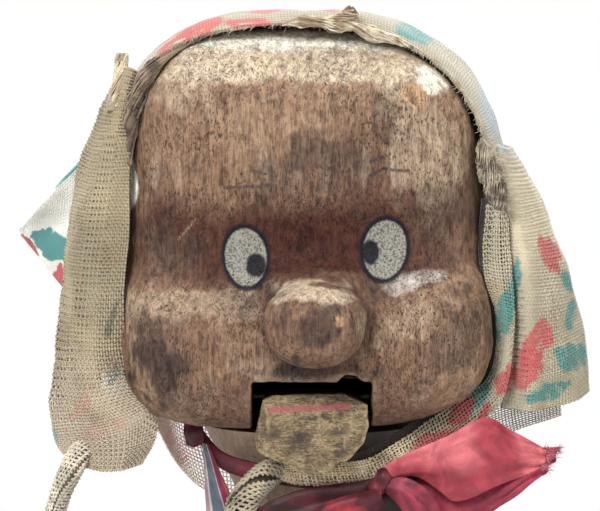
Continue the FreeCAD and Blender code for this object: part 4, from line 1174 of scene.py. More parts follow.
def build_hood():
    hood = creased(loft(*upright(HOOD)), 0.7, 16, 50, 0.04)
    piece = sheet("scarf_hood", hood, (190, 110), MATERIALS["print"], colour=printed, thick=0.8)
    stand_for(piece, "printed_linen", "headscarf")
    line = curve(upright([RIM])[0])
    hem_line = line(np.linspace(0.3, 0.97, 150))
    wander = np.stack([noise(hem_line, 5, 60 + k) for k in range(3)], -1)
    hem_line = hem_line + (0, 0.9, 0.2) + wander * 0.35

    def hem_size(t):
        return 0.75 + 0.25 * np.sin(t * 61) * np.sin(t * 23)

    stand_for(tubes("scarf_rim_hem", [hem_line], hem_size, MATERIALS["yarn"], sides=8,
                    colour=rag((0.5, 0.44, 0.32), (0.26, 0.19, 0.12), 5, 61)), "printed_linen")
    brown = rag((0.3, 0.22, 0.15), (0.085, 0.055, 0.038), 4, 62)
    bundle("scarf_rim_roll", [(-31, 121.8, -34), (-39, 118.2, -34.5), (-46.5, 113, -35),
                              (-51, 106.5, -35.5), (-53.8, 98, -36), (-55.3, 90, -35.5), (-55.6, 82, -35)],
           lambda t: 0.5 + 1.9 * smooth(t, 0.1, 0.5) - 1.0 * smooth(t, 0.7, 1.0), 26, 0.3, brown, 65)
    fringe("scarf_rim_threads", lambda t: line(0.3 + 0.67 * t), lambda t: np.array([-0.3, -0.5, -0.8]), 320,
           2.2, 0.1, rag((0.6, 0.56, 0.46), (0.4, 0.34, 0.25), 6, 63), "printed_linen", 63)
    pale = rag((0.66, 0.6, 0.47), (0.32, 0.24, 0.15), 2.6, 66)
    bundle("scarf_frayed_top", [(-9, 124.6, -36.5), (-1, 125.4, -37), (6, 124.6, -37), (12, 124, -37.5),
                                (18, 121.6, -38), (24, 120.2, -38), (30, 117.2, -37.5)],
           lambda t: 0.5 + 1.3 * smooth(t, 0, 0.15) * smooth(t, 1, 0.8) * (0.8 + 0.35 * np.sin(21 * t)), 44,
           0.24, pale, 67, 0.8)
    bundle("scarf_frayed_stub", [(4.5, 123, -36.5), (8, 125, -37), (11, 127, -36.5), (13, 128.8, -36)],
           lambda t: 1.5 + 0.5 * np.sin(3 * t), 30, 0.3,
           rag((0.42, 0.33, 0.22), (0.2, 0.13, 0.08), 2.2, 68), 69, 0.6)
    bundle("scarf_tie_stub", [(-57.6, 115.8, -28), (-57.8, 111, -29), (-58.6, 105, -31), (-60.4, 98, -33)],
           lambda t: 1.7 - 0.25 * smooth(t, 0.1, 0.3) + 0.6 * t, 26, 0.42,
           rag((0.62, 0.54, 0.4), (0.4, 0.31, 0.2), 3, 71), 72, 0.25)
    bundle("scarf_frayed_fold", [(51.3, 90, -35), (52.4, 84, -37), (54.4, 78, -37.4), (56.2, 72, -36),
                                 (57.4, 67.5, -33)],
           lambda t: 0.6 + 2.3 * np.sin(math.pi * np.clip(t, 0, 1)) ** 0.7, 110, 0.15,
           rag((0.52, 0.46, 0.35), (0.14, 0.1, 0.07), 2.4, 70), 73, 0.8)
    path = curve(upright([[(52, 90, -35), (54, 82, -37), (57, 72, -36), (57.6, 67, -32)]])[0])
    fringe("scarf_fold_threads", lambda t: path(t) + np.array([1.5, -1, 0]),
           lambda t: np.array([0.6, -0.5, 0.6 - 1.4 * t]), 110, 4.0, 0.1,
           rag((0.6, 0.54, 0.44), (0.3, 0.24, 0.17), 3, 74), "printed_linen", 70)


# Rails of the cloth that hangs round the head. Those of the drapes and the curtain run downwards.
PLAIN_DRAPE = (
    [(-52.5, 110, -32), (-53.8, 101, -33.4), (-54.8, 91, -34.6), (-55.2, 80, -35.6), (-55.2, 70, -36),
     (-55.4, 60, -36.6), (-56.4, 50, -37.6), (-57.0, 38, -37), (-56.4, 25, -35.6), (-52.6, 14, -34.6),
     (-46.6, 9, -35), (-47.6, -1, -36.6), (-51.5, -8.6, -37)],
    [(-54, 111, -33), (-56.6, 101.5, -35), (-59, 91, -37), (-60.6, 80, -38), (-61.8, 70, -38.5),
     (-63, 60, -38.5), (-64.4, 50, -38.5), (-65.4, 38, -39), (-65.8, 25, -39.5), (-63.5, 12, -41.5),
     (-57, 4.5, -42), (-56.6, -3.5, -40.5), (-58, -10.4, -38.5)],
    [(-55.6, 111.4, -31), (-59.4, 102, -32), (-63.4, 91, -33), (-66.2, 80, -33.5), (-68.4, 70, -34),
     (-70, 60, -34), (-71.2, 50, -34), (-72.4, 38, -34), (-73, 25, -34), (-71.6, 11, -35),
     (-67.4, 1.5, -35.5), (-65.5, -4.5, -34.5), (-64.8, -11, -33.5)],
    [(-57, 111, -28), (-62, 102.5, -24), (-67.2, 91.5, -19), (-71.4, 81, -16), (-73.4, 70, -15),
     (-75, 60, -15), (-76.2, 50, -15), (-77.4, 38, -16), (-78.8, 24, -18), (-80.4, 10, -20),
     (-79.5, -1, -22), (-76.5, -6.5, -25), (-71, -10.4, -28)],
)
WING = (
    [(-64, 93, -2), (-71, 83, -4), (-78, 75.5, -5), (-84, 68.5, -6), (-90.4, 60.8, -6)],
    [(-65, 63, 4), (-72, 62, 1), (-79, 61, -1), (-84.6, 60.4, -3), (-90.5, 60.3, -6)],
    [(-66, 29, 4), (-72.4, 36, 1), (-78.6, 43.4, -1), (-84.6, 51.5, -3), (-89.8, 58.8, -6)],
)
PRINTED_DRAPE = (
    [(56.4, 88, -28), (57.4, 74, -30), (58.4, 64, -31), (59.6, 54, -32), (60.4, 44, -33), (60.4, 33, -32.5),
     (60, 22, -31.5), (59, 14, -31), (58, 8, -31)],
    [(58.6, 87, -26), (61.8, 74, -29), (64.4, 64, -31.5), (66.6, 54, -33.5), (68, 44, -35), (69, 33, -35.5),
     (69.6, 22, -35.5), (69.6, 14, -35), (69.0, 7.6, -34.5)],
    [(60.6, 86.5, -15), (68.2, 74, -15), (72.4, 65, -15), (76.6, 54, -15), (79.6, 44, -15),
     (81.8, 35, -15.5), (83.4, 26, -16), (84.6, 18, -16), (85.4, 10.5, -16)],
    [(61.8, 86, 6), (66, 73, 8), (69, 64, 10), (72, 54, 12), (75, 44, 14), (77, 34, 14), (78, 24, 15),
     (78, 16, 15), (77, 10, 15)],
    [(58.6, 86, 36), (59.6, 73, 40), (61.5, 62, 43), (63, 52, 45), (64, 42, 47), (64, 32, 48), (64, 22, 49),
     (63, 14, 49), (62, 8, 49)],
)
BAND = (
    [(53.0, 70, -32.5), (51.9, 56, -33.5), (53.0, 46, -35), (55.9, 37, -33.5), (56.2, 27, -31),
     (53.5, 17, -31), (45, 11, -31.5), (36, 4.5, -32.5), (27, -1.5, -34), (17, -7, -35.6), (8, -8.2, -36),
     (-4, -8.4, -35.6), (-13, -9, -34.6)],
    [(56, 70, -36), (55.8, 56, -37), (57, 45, -38), (58.8, 34.5, -37), (58.6, 23, -36), (55.6, 13.6, -36),
     (47, 6.5, -36.5), (38, -0.4, -37), (29, -5, -37.3), (19, -10.6, -37.4), (9, -12, -37.4),
     (-3.6, -12, -37), (-11, -11.6, -35.6)],
    [(59.2, 70.5, -33), (60, 56, -34), (61.2, 44, -36), (61.2, 32, -36), (60, 20, -35.5), (57, 9.6, -35.5),
     (48.4, 1.6, -36), (39, -5, -36), (30, -8, -36), (20.4, -14.4, -35.6), (10, -15.6, -35.4),
     (-3, -15.4, -35), (-9, -14, -34)],
)
CURTAIN = (
    [(-57.4, 104, -20), (-60.8, 94, -20), (-62, 80, -21), (-63.4, 64, -21), (-64.4, 48, -21),
     (-65.4, 34, -22), (-66, 22, -22), (-66, 14, -22)],
    [(-58, 104, 14), (-61, 94, 15), (-62.5, 80, 16), (-64, 64, 18), (-66, 48, 20), (-67, 34, 20),
     (-68, 22, 20), (-67, 14, 20)],
    [(-53.4, 104, 40), (-57.5, 94, 42), (-59, 80, 43), (-60, 64, 46), (-62, 48, 48), (-63, 34, 49),
     (-63, 20, 50), (-61, 11, 50)],
    [(-30, 107, 47.4), (-34, 96, 51.2), (-38, 80, 54), (-41, 64, 55), (-42, 48, 56), (-42, 32, 57),
     (-42, 18, 57.5), (-40, 5, 57.5)],
    [(0, 107, 48), (0, 97, 51.6), (0, 80, 55), (0, 64, 56), (0, 48, 57), (0, 32, 58), (0, 12, 59),
     (0, -12, 59)],
    [(30, 107, 47.4), (34, 96, 51.2), (38, 80, 54), (41, 64, 55), (42, 48, 56), (42, 32, 57),
     (42, 14, 57.5), (40, -2, 57.5)],
    [(53.4, 104, 40), (57.5, 94, 42), (60, 80, 44), (62.5, 64, 47), (64.5, 48, 49), (65.5, 32, 50),
     (65, 16, 51), (63, 6, 51)],
)
NET = (
    [(-57, 16, 45), (-42, 13, 52.5), (-16, 10, 56), (12, 10, 56.5), (38, 12, 55), (58, 15, 48),
     (75, 17, 22)],
    [(-55.5, 6, 46), (-42, -6, 53.5), (-16, -11, 57), (12, -12, 57.5), (38, -8, 56), (60, 2, 49),
     (79, 8, 22)],
    [(-53, -3.5, 46), (-37.5, -27, 53), (-16, -33, 56), (12, -34, 57), (38, -29, 56), (62, -11, 48),
     (80, -0.5, 22)],
)


def build_drapes():
    plain_drape = creased(loft(*upright(PLAIN_DRAPE)), 0.55, 9, 80)
    woven("scarf_plain_drape", plain_drape, (118, 34), 0.40, reverse_side, 81)
    wing = creased(loft(*upright(WING)), 0.5, 8, 82)
    stand_for(sheet("scarf_corner_fold", wing, (120, 120), MATERIALS["bleached"], colour=bleached,
                    thick=0.8), "printed_linen")
    printed_drape = creased(pleated(loft(*upright(PRINTED_DRAPE)), 0.9, 5, 0.1, 0.3), 0.6, 10, 84)
    woven("scarf_printed_drape", printed_drape, (80, 98), 0.45, printed, 85)
    band = creased(loft(*upright(BAND)), 0.35, 6, 86)
    woven("scarf_chin_tie", band, (124, 11), 0.34, tie_colours, 87)
    # A dark sheet behind the chin tie: painted shade seen through its open weave and in the gap above it.
    shade = [[(x - 1.4, z + 1.7, y + 3) for x, z, y in BAND[0]], [(x, z, y + 3) for x, z, y in BAND[1]],
             [(x - 0.4, z + 0.8, y + 3) for x, z, y in BAND[2]]]
    stand_for(sheet("scarf_tie_shadow_sheet", loft(*upright(shade)), (110, 14), MATERIALS["print"], thick=0.5,
                    colour=rag((0.05, 0.035, 0.026), (0.02, 0.013, 0.01), 5, 94)), "printed_linen")
    curtain = creased(pleated(loft(*upright(CURTAIN)), 1.2, 7, 0.3), 0.6, 16, 88, 0.05)
    stand_for(sheet("scarf_back", curtain, (120, 190), MATERIALS["print"], colour=printed, thick=0.8),
              "printed_linen")
    net = creased(loft(*upright(NET)), 0.8, 14, 89)
    woven("scarf_gauze_hem", net, (120, 34), 0.22, net_colours, 90, bulge=0.2)


def net_rope(name, stations, radius, turns, count, seed, pale=1.0):
    """A corner of open cloth rolled into a rope: a net of yarns that wind round a darker core, painted
    shade inside the roll.
    """
    at = spine(stations)

    def surface(u, v):
        path, across, up = at(u + 0.1 * (v - 0.5))
        turn = 2 * math.pi * (v + turns * u)
        lump = radius(u) * (1 + 0.13 * np.sin(2 * turn + 5 * u + seed))
        return path + (across * np.cos(turn)[..., None] + up * np.sin(turn)[..., None]) * lump[..., None]

    path = at(np.linspace(0, 1, 60))[0]
    # Painted shade: the core is laid much darker than the yarns round it.
    dull = np.array((0.13, 0.095, 0.062)) * pale ** 3
    stand_for(tubes(name + "_core", [path], lambda t: radius(t) * 0.74, MATERIALS["yarn"], sides=14,
                    colour=rag(dull, dull * 0.4, 5, seed)), "printed_linen")
    yarn = np.array((0.5, 0.44, 0.32)) + 0.5 * (pale - 1)
    woven(name, surface, count, 0.42, rag(yarn, yarn * 0.55, 4, 93), seed, bulge=0.3)


def build_tails():
    net_rope("scarf_knot_tail", [(-4, -10.8, -30.6), (-10.5, -11.2, -31.8), (-16, -14.4, -33),
                                 (-20, -19.8, -33.6), (-22.5, -27, -32), (-24.4, -34, -29)],
             lambda t: 2.6 + 2.1 * smooth(t, 0, 0.4) + 0.3 * np.sin(9 * t), 0.7, (26, 17), 91)
    net_rope("scarf_drape_tail", [(-62, 1, -27), (-66.5, -1.6, -28.5), (-70.6, -6, -30.5),
                                  (-73.6, -11.5, -31.4), (-76.4, -17.5, -30.5), (-78.2, -24, -29.5),
                                  (-80, -32, -29)],
             lambda t: 0.6 + 2.8 * smooth(t, 0, 0.35) - 0.9 * smooth(t, 0.35, 0.75), 0.35, (32, 15), 92,
             1.6)


# ---------------------------------------------------------------- ribbons


# One red satin, laid in lit and shaded copies: light is painted highlight, and red, deep, fold, band and
# shade are ever darker painted shade.
RIBBON_LIT_AND_SHADED = {
    "light": rag((0.62, 0.155, 0.17), (0.32, 0.036, 0.052), 14, 15),
    "red": rag((0.4, 0.042, 0.075), (0.21, 0.018, 0.038), 9, 16),
    "deep": rag((0.33, 0.035, 0.065), (0.11, 0.008, 0.02), 6, 17),
    "fold": rag((0.32, 0.022, 0.035), (0.06, 0.004, 0.01), 6, 18),
    "shade": rag((0.075, 0.006, 0.012), (0.02, 0.003, 0.005), 6, 19),
    "band": rag((0.17, 0.013, 0.03), (0.06, 0.006, 0.012), 6, 20),
}


def roll_round(path, u, turn, flat, tall):
    """A point on a soft flat roll that follows an upright-standing path round the body."""
    i = u * (len(path) - 1)
    centre = np.stack([np.interp(i, np.arange(len(path)), path[:, k]) for k in range(3)], -1)
    away = unit(centre * (1, 1, 0))
    lift = np.stack([0 * u, 0 * u, np.sin(turn) * tall], -1)
    return centre + away * (np.cos(turn) * flat)[..., None] + lift


def neck_radius(z):
    """Radius of the turned neck at heights below the head."""
    heights = np.linspace(-35, 0, 36)
    return np.interp(z, heights, section("neck_post", heights + HEAD_BASE[2] - 0.01)[0])


# Pieces of the bow, named as seen from the front: name, which of the ribbon's painted lights and shades it
# takes, and three rails along it.
BOW = (
    ("ribbon_bow_end", "light",
     [(21, -9.4, -41), (29.5, -4.2, -43.5), (40.8, 0.8, -43.5), (52.2, 6.2, -41.5), (61, 1.8, -40),
      (70, -3.4, -39)],
     [(23, -11, -43), (31, -8.5, -46), (42, -6.5, -46), (52.5, -3.5, -44.5), (61, -4.8, -42),
      (71, -6, -39.5)],
     [(23, -12.5, -41), (31, -11.2, -43), (38.5, -16, -44), (44, -19, -43.5), (56, -14.6, -41.5),
      (69, -9.6, -39.5)]),
    ("ribbon_long_end", "red",
     [(30, -12, -38.5), (44, -12, -39.5), (56, -8, -39), (66, -4, -38), (74.4, -3.4, -37)],
     [(30, -20, -39.5), (44, -21, -40.5), (56, -17, -40), (66, -10.5, -38.5), (74, -7, -37.5)],
     [(28, -28, -38.5), (42, -29.5, -39), (54, -23, -38.5), (64, -15.5, -38), (71, -11.2, -37)]),
    ("ribbon_right_loop", "deep",
     [(22, -12, -42.5), (29, -11.8, -45.5), (35, -16, -46), (39, -23, -45), (41, -32, -42)],
     [(22.5, -14.5, -44), (27.5, -16, -47), (32, -20.5, -48), (34.5, -27, -46.5), (35, -34, -43)],
     [(22, -16.5, -43), (25.5, -20, -45.5), (28, -25, -46), (29.5, -30, -44.5), (29.5, -36, -42)]),
    ("ribbon_left_loop", "fold",
     [(21, -15, -43), (14, -16.6, -45.5), (7.5, -18.2, -46), (0, -21.6, -45), (-5, -28, -42)],
     [(21, -17.5, -44.5), (15, -20.5, -47.5), (9, -23, -48), (3.5, -27, -46.5), (0.5, -33, -43)],
     [(21.5, -19.5, -43), (17.5, -24.5, -45), (13, -28.5, -45), (9, -32, -43.5), (7, -36, -41.5)]),
    # A dark loop that fills the shadow between the neck and the other loops: painted shade.
    ("ribbon_shadow_loop", "shade",
     [(48, -10, -36.5), (26, -11, -38.5), (14, -13.5, -39.5), (-2, -16, -39), (-14, -20.5, -37.5),
      (-20, -28, -35)],
     [(48, -22, -37), (26, -18, -39.5), (14, -21, -41), (0, -24, -40.5), (-11, -28.5, -38.5),
      (-16, -34, -36)],
     [(46, -36, -36.5), (28, -30, -38.5), (16, -31, -39.5), (5, -32, -39), (-3, -34.5, -38),
      (-8, -37, -36)]),
)


def build_ribbons():
    # Each piece is laid in its own lit or shaded copy of the red: painted light and shade.
    for i, (name, paint, *rails) in enumerate(BOW):
        surface = creased(pleated(loft(*upright(rails)), 0.6, 2.5, -0.2, 0.2 * i), 0.8, 9, 100 + i)
        piece = sheet(name, surface, (90, 60), MATERIALS["satin"], colour=RIBBON_LIT_AND_SHADED[paint],
                      thick=0.45)
        stand_for(piece, "red_satin", *(("neck_ribbon",) if i == 0 else ()))
    stations = [(-36.5, 2, -22), (-32.6, -3.6, -25), (-27.3, -9.0, -26), (-19, -11.6, -28), (-6, -14, -30),
                (8, -15.4, -31), (22, -16, -28), (30, -14.5, -12), (30.5, -11, 8), (20, -8, 25),
                (0, -6, 32), (-20, -3, 27), (-33, 0.5, 10), (-36, 2.5, -8), (-36.5, 2, -22)]
    path = curve(upright([stations])[0])(np.linspace(0, 1, 160))
    flat = path * (1, 1, 0)
    outside = np.maximum(np.linalg.norm(flat, axis=1), neck_radius(path[:, 2]) + 1.6)
    path = unit(flat) * outside[:, None] + path * (0, 0, 1)

    def band(u, v):
        turn = 2 * math.pi * v
        return roll_round(path, u, turn, 1.15 + 0.3 * np.sin(3 * turn + 14 * u), 2.3 + 0.5 * np.sin(9 * u))

    # Painted shade: the band round the neck is laid in a dark copy of the red.
    piece = sheet("ribbon_neck_band", band, (200, 28), MATERIALS["satin"], colour=RIBBON_LIT_AND_SHADED["band"],
                  thick=0, wrap=True)
    stand_for(piece, "red_satin")
    # The flap is laid in a shaded copy of the red: painted shade.
    flap = loft(*upright([
        [(-38.8, 3.4, -25), (-36.2, 4.6, -27), (-33.4, 3.4, -27)],
        [(-39, 0, -26.4), (-36.4, 0.6, -29), (-33.2, -0.2, -28)],
        [(-38.4, -4, -26), (-36.2, -4.8, -28.5), (-32.8, -3.6, -27)]]))
    stand_for(sheet("ribbon_flap", creased(flap, 0.7, 4, 111), (24, 24), MATERIALS["satin"],
                    colour=RIBBON_LIT_AND_SHADED["fold"], thick=0.6), "red_satin")
    block = Block((14, -50, -24), (31, -33, -5), KNOT_CELL)
    knot = join(ellipsoid(block.p, (22, -41.2, -12.4), (3.0, 3.6, 3.4)),
                ellipsoid(block.p, (19.8, -41, -15.4), (2.6, 3.2, 2.6)), 1.5)
    for shift in (-4.2, -2.4, -0.8, 0.8, 2.4, 4.2, 5.8):
        knot = carve(knot, capsule(block.p, (16, -46.9, -15.5 + 0.8 * shift), (28, -45.8, -11 + shift),
                                   0.45), 0.7)
    points, faces = block.mesh(knot)
    # The knot is laid in a shaded copy of the red, darker still: painted shade.
    stand_for(make_mesh("ribbon_knot", points, faces, MATERIALS["satin"], ROOT, HEAD_BASE,
                        points[:, [0, 2]], RIBBON_LIT_AND_SHADED["deep"](points) * 0.55), "red_satin")
    fringe("ribbon_end_threads", curve([(70, -39.2, -3.4), (71, -39.8, -6), (69, -39.6, -9.6),
                                        (74.4, -37.2, -3.4), (71, -37.2, -11)]),
           lambda t: np.array([1.0, -0.1, 0.5 - 0.9 * t]), 260, 2.6, 0.08,
           rag((0.6, 0.2, 0.24), (0.4, 0.06, 0.1), 3, 113), "red_satin", 112)
    rows, columns = 90, 60
    bands = ((0.0, (0.3, 0.2, 0.22)), (0.12, (0.42, 0.41, 0.4)), (0.2, (0.075, 0.105, 0.135)),
             (0.42, (0.095, 0.125, 0.15)), (0.56, (0.4, 0.38, 0.38)), (0.62, (0.22, 0.025, 0.07)),
             (0.86, (0.36, 0.1, 0.07)), (0.92, (0.24, 0.03, 0.07)))

    def stripes(points):
        share = np.tile(np.linspace(0, 1, columns), rows)
        colour = np.zeros((len(points), 3))
        for start, paint in bands:
            colour[share >= start] = paint
        return colour

    strip = loft(*upright([
        [(-33.2, -3, -26.4), (-33.0, -9, -27), (-32.7, -17, -26.8), (-32.4, -24, -26), (-32.2, -32, -25.4)],
        [(-32.4, -3.4, -28), (-31, -9, -28.6), (-29.2, -17, -28.4), (-27.4, -24.6, -27.4),
         (-26, -32.6, -26.8)],
        [(-31.6, -3.8, -28), (-29, -10, -28), (-25.5, -17.6, -27.8), (-22.2, -25, -27),
         (-19.6, -33, -26.4)]]))
    stand_for(sheet("striped_ribbon_hanging", creased(strip, 0.4, 6, 120), (rows, columns),
                    MATERIALS["satin"], colour=stripes, thick=0.4), "striped_ribbon", "striped_ribbon")


# ---------------------------------------------------------------- clothes on the body


def section(node, heights):
    """Half width and half depth of a CAD node at the given heights, in millimetres."""
    mesh = frame["nodes"][node].data
    place = np.zeros(len(mesh.vertices) * 3)
    mesh.vertices.foreach_get("co", place)
    place = place.reshape(-1, 3) / MM
    ends = np.zeros(len(mesh.edges) * 2, int)
    mesh.edges.foreach_get("vertices", ends)
    a, b = place[ends.reshape(-1, 2)[:, 0]], place[ends.reshape(-1, 2)[:, 1]]
    halves = []
    for z in np.atleast_1d(heights):
        crosses = (a[:, 2] - z) * (b[:, 2] - z) <= 0
        rise = np.where(np.abs(b[crosses, 2] - a[crosses, 2]) < 1e-6, 1, b[crosses, 2] - a[crosses, 2])
        share = np.clip((z - a[crosses, 2]) / rise, 0, 1)[:, None]
        where = np.abs(a[crosses] * (1 - share) + b[crosses] * share)
        halves.append(where[:, :2].max(0))
    return np.array(halves).T


def garment(node, low, high, inset, folds, turns=1.0, lap=0.0):
    """A garment's surface: u runs down from high to low, and v round the body from its front."""
    heights = np.linspace(high, low, 40)
    half_x, half_y = section(node, np.clip(heights, low + 0.3, high - 0.3)) - inset

    def at(u, v):
        z = high + (low - high) * u
        a, b = np.interp(-z, -heights, half_x), np.interp(-z, -heights, half_y)
        turn = 2 * math.pi * (v * turns - 0.25) + 0.35
        swell = folds(u, v * turns) + lap * v
        return np.stack([(a + swell) * np.cos(turn), (b + swell) * np.sin(turn), z], -1)

    return at


def soft_folds(depth, count, start, seed):
    """Folds that begin at start and deepen downwards, of uneven width and height."""

    def at(u, v):
        spread = v + 0.012 * np.sin(2 * math.pi * v * 5 + seed) + 0.004 * np.sin(u * 7)
        wave = np.sin(2 * math.pi * spread * count)
        sharp = np.sign(wave) * np.abs(wave) ** 0.7
        strength = 0.65 + 0.35 * np.sin(2 * math.pi * v * 3 + seed * 2)
        return sharp * strength * depth * (0.2 + 0.8 * smooth(u, start, 1))

    return at


def dotted(points, ground, mark, pitch):
    """Rows of small printed diamonds round the body."""
    around = np.arctan2(points[:, 1], points[:, 0]) * 40 / pitch
    up = points[:, 2] / pitch
    row = np.floor(up)
    a = np.abs((around + 0.5 * (row % 2)) % 1 - 0.5) * 2
    b = np.abs(up % 1 - 0.5) * 2
    wobble = 0.12 * noise(points, 3.0, 7)
    return laid(ground, mark, smooth((1 - a) + (1 - b) + wobble, 0.52, 0.38))


INDIGO, FADED_INDIGO, CREAM = (0.035, 0.048, 0.1), (0.1, 0.13, 0.2), (0.5, 0.42, 0.28)
SOIL, OCHRE, CRIMSON = (0.13, 0.06, 0.03), (0.36, 0.2, 0.07), (0.36, 0.03, 0.05)


def faded(points, colour, size, seed, amount):
    """The colours faded in patches of about the given size."""
    worn = colour * 0.6 + np.array((0.2, 0.17, 0.14))
    return laid(colour, worn, smooth(rough_noise(points, size, seed), -0.5, 0.8) * amount)


def blouse_colours(points):
    return faded(points, dotted(points, INDIGO, FADED_INDIGO, 7.5), 18, 5, 0.3)


def skirt_colours(points):
    above = points[:, 2] - box_mm("skirt")[0][2]
    colour = dotted(points, SOIL, CREAM, 11)
    inner = dotted(points, SOIL, OCHRE, 5.5)
    colour = np.where((above > 30)[:, None], colour, inner)
    for start, wide, paint in ((4, 3, OCHRE), (27, 1.6, CREAM), (31, 3, OCHRE)):
        away = np.abs(above - start - wide / 2) + 0.3 * noise(points, 2, 3)
        colour = laid(colour, paint, smooth(away, wide / 2 + 0.3, wide / 2 - 0.3))
    return faded(points, colour, 25, 6, 0.35)


def sash_colours(points):
    return faded(points, plain(CRIMSON)(points), 8, 9, 0.3)


def hem(name, surface, u, radius, colour, material, slot, body, count=240):
    """A rolled and stitched edge along one line of a garment."""
    v = np.linspace(0, 1, count)
    path = surface(np.full(count, u), v)
    stand_for(tubes(name, [path], lambda t: radius * (1 + 0.1 * np.sin(t * 160)), MATERIALS[material], body,
                    (0, 0, 0), sides=8, colour=colour), slot)


ARMHOLE_RADIUS, RUFFLE_OUT, RUFFLE_RADIUS = 7.4, 40.2, 12.2
NECKLINE = (28.2, 27.5)
PLACKET_TURN = -0.0557


def build_blouse():
    low, high = box_mm("blouse")

    def sag(u, v):
        slow = 0.25 * np.sin(2 * math.pi * v * 9 + 4 * u)
        return slow + 0.5 * smooth(u, 0.5, 1) * np.sin(2 * math.pi * v * 16)

    body = garment("blouse", low[2] + 0.5, high[2] - 1.5, 0.9, sag)
    piece = sheet("blouse_body", body, (120, 260), MATERIALS["blouse"], "torso", (0, 0, 0), blouse_colours,
                  0.9)

    def armhole(c):
        return (np.hypot(c[:, 1], c[:, 2] - SHOULDER_LEVEL) < ARMHOLE_RADIUS) & (np.abs(c[:, 0]) > 20)

    drop_faces(piece, armhole)
    stand_for(piece, "blouse_cotton", "blouse")
    top = section("blouse", high[2] - 2)[:, 0] - 0.9

    def yoke(u, v):
        turn = 2 * math.pi * v
        a = top[0] + (NECKLINE[0] - top[0]) * u
        b = top[1] + (NECKLINE[1] - top[1]) * u
        z = high[2] - 1.5 + 0.9 * np.sin(math.pi * u * 0.5)
        return np.stack([a * np.cos(turn), b * np.sin(turn), z + 0.15 * np.sin(turn * 24)], -1)

    stand_for(sheet("blouse_yoke", yoke, (8, 160), MATERIALS["blouse"], "torso", (0, 0, 0), blouse_colours,
                    0.7), "blouse_cotton")
    hem("blouse_neck_edge", yoke, 1.0, 0.9, plain(CREAM), "cord", "blouse_cotton", "torso")
    turn = np.linspace(0, 2 * math.pi, 121)
    for name, sign in SIDES:
        ring = np.stack([sign * (RUFFLE_OUT + 0 * turn), RUFFLE_RADIUS * np.cos(turn),
                         SHOULDER_LEVEL + RUFFLE_RADIUS * np.sin(turn)], -1)
        stand_for(tubes(f"blouse_armhole_{name}", [ring],
                        lambda t: 2.0 + 0.45 * np.sin(t * 2 * math.pi * 20), MATERIALS["blouse"], "torso",
                        (0, 0, 0), sides=12, colour=blouse_colours), "blouse_cotton")
    placket = body(np.linspace(0.02, 0.84, 60), np.full(60, PLACKET_TURN))
    strip = loft(*[placket[::6] + (side, lift, 0) for side, lift in ((-4, -0.6), (0, -1.3), (4, -0.6))])
    stand_for(sheet("blouse_placket", strip, (60, 10), MATERIALS["blouse"], "torso", (0, 0, 0),
                    lambda p: blouse_colours(p) * 0.8, 0.6), "blouse_cotton")
    for i, u in enumerate((0.12, 0.34, 0.56, 0.78)):
        button(f"blouse_button_{i + 1}", strip(np.array(u), np.array(0.5)) + (0, -0.9, 0))


def button(name, centre):
    """A small turned wooden button with a rim and two sewing holes."""
    profile = [(0, -0.5), (1.2, -0.55), (1.7, -0.95), (2.2, -0.9), (2.4, -0.3), (2.1, 0.3), (0, 0.4)]
    turn = np.linspace(0, 2 * math.pi, 25)[:-1]
    r, y = np.array(curve([(a, b, 0) for a, b in profile])(np.linspace(0, 1, 22)))[:, :2].T
    r = np.maximum(r, 0.02)
    points = np.stack([r[:, None] * np.cos(turn), np.repeat(y[:, None], 24, 1), r[:, None] * np.sin(turn)],
                      -1)
    for side in (-0.7, 0.7):
        hole = np.exp(-((points[..., 0] - side) ** 2 + points[..., 2] ** 2) / 0.12) * (points[..., 1] < 0)
        points[..., 1] += 0.5 * hole
    faces = grid_faces(len(r), 24, wrap_columns=True)
    piece = make_mesh(name, points.reshape(-1, 3) + centre, faces, MATERIALS["bamboo"], "torso")
    stand_for(piece, "bamboo")


def drop_faces(piece, chosen):
    """Cuts away the faces whose centre, in millimetres, is chosen."""
    mesh = piece.data
    centres = np.zeros(len(mesh.polygons) * 3)
    mesh.polygons.foreach_get("center", centres)
    doomed = np.flatnonzero(chosen(centres.reshape(-1, 3) / MM))
    work = bmesh.new()
    work.from_mesh(mesh)
    work.faces.ensure_lookup_table()
    bmesh.ops.delete(work, geom=[work.faces[i] for i in doomed], context="FACES")
    work.to_mesh(mesh)
    work.free()


SASH_KNOT = (-9, 297)


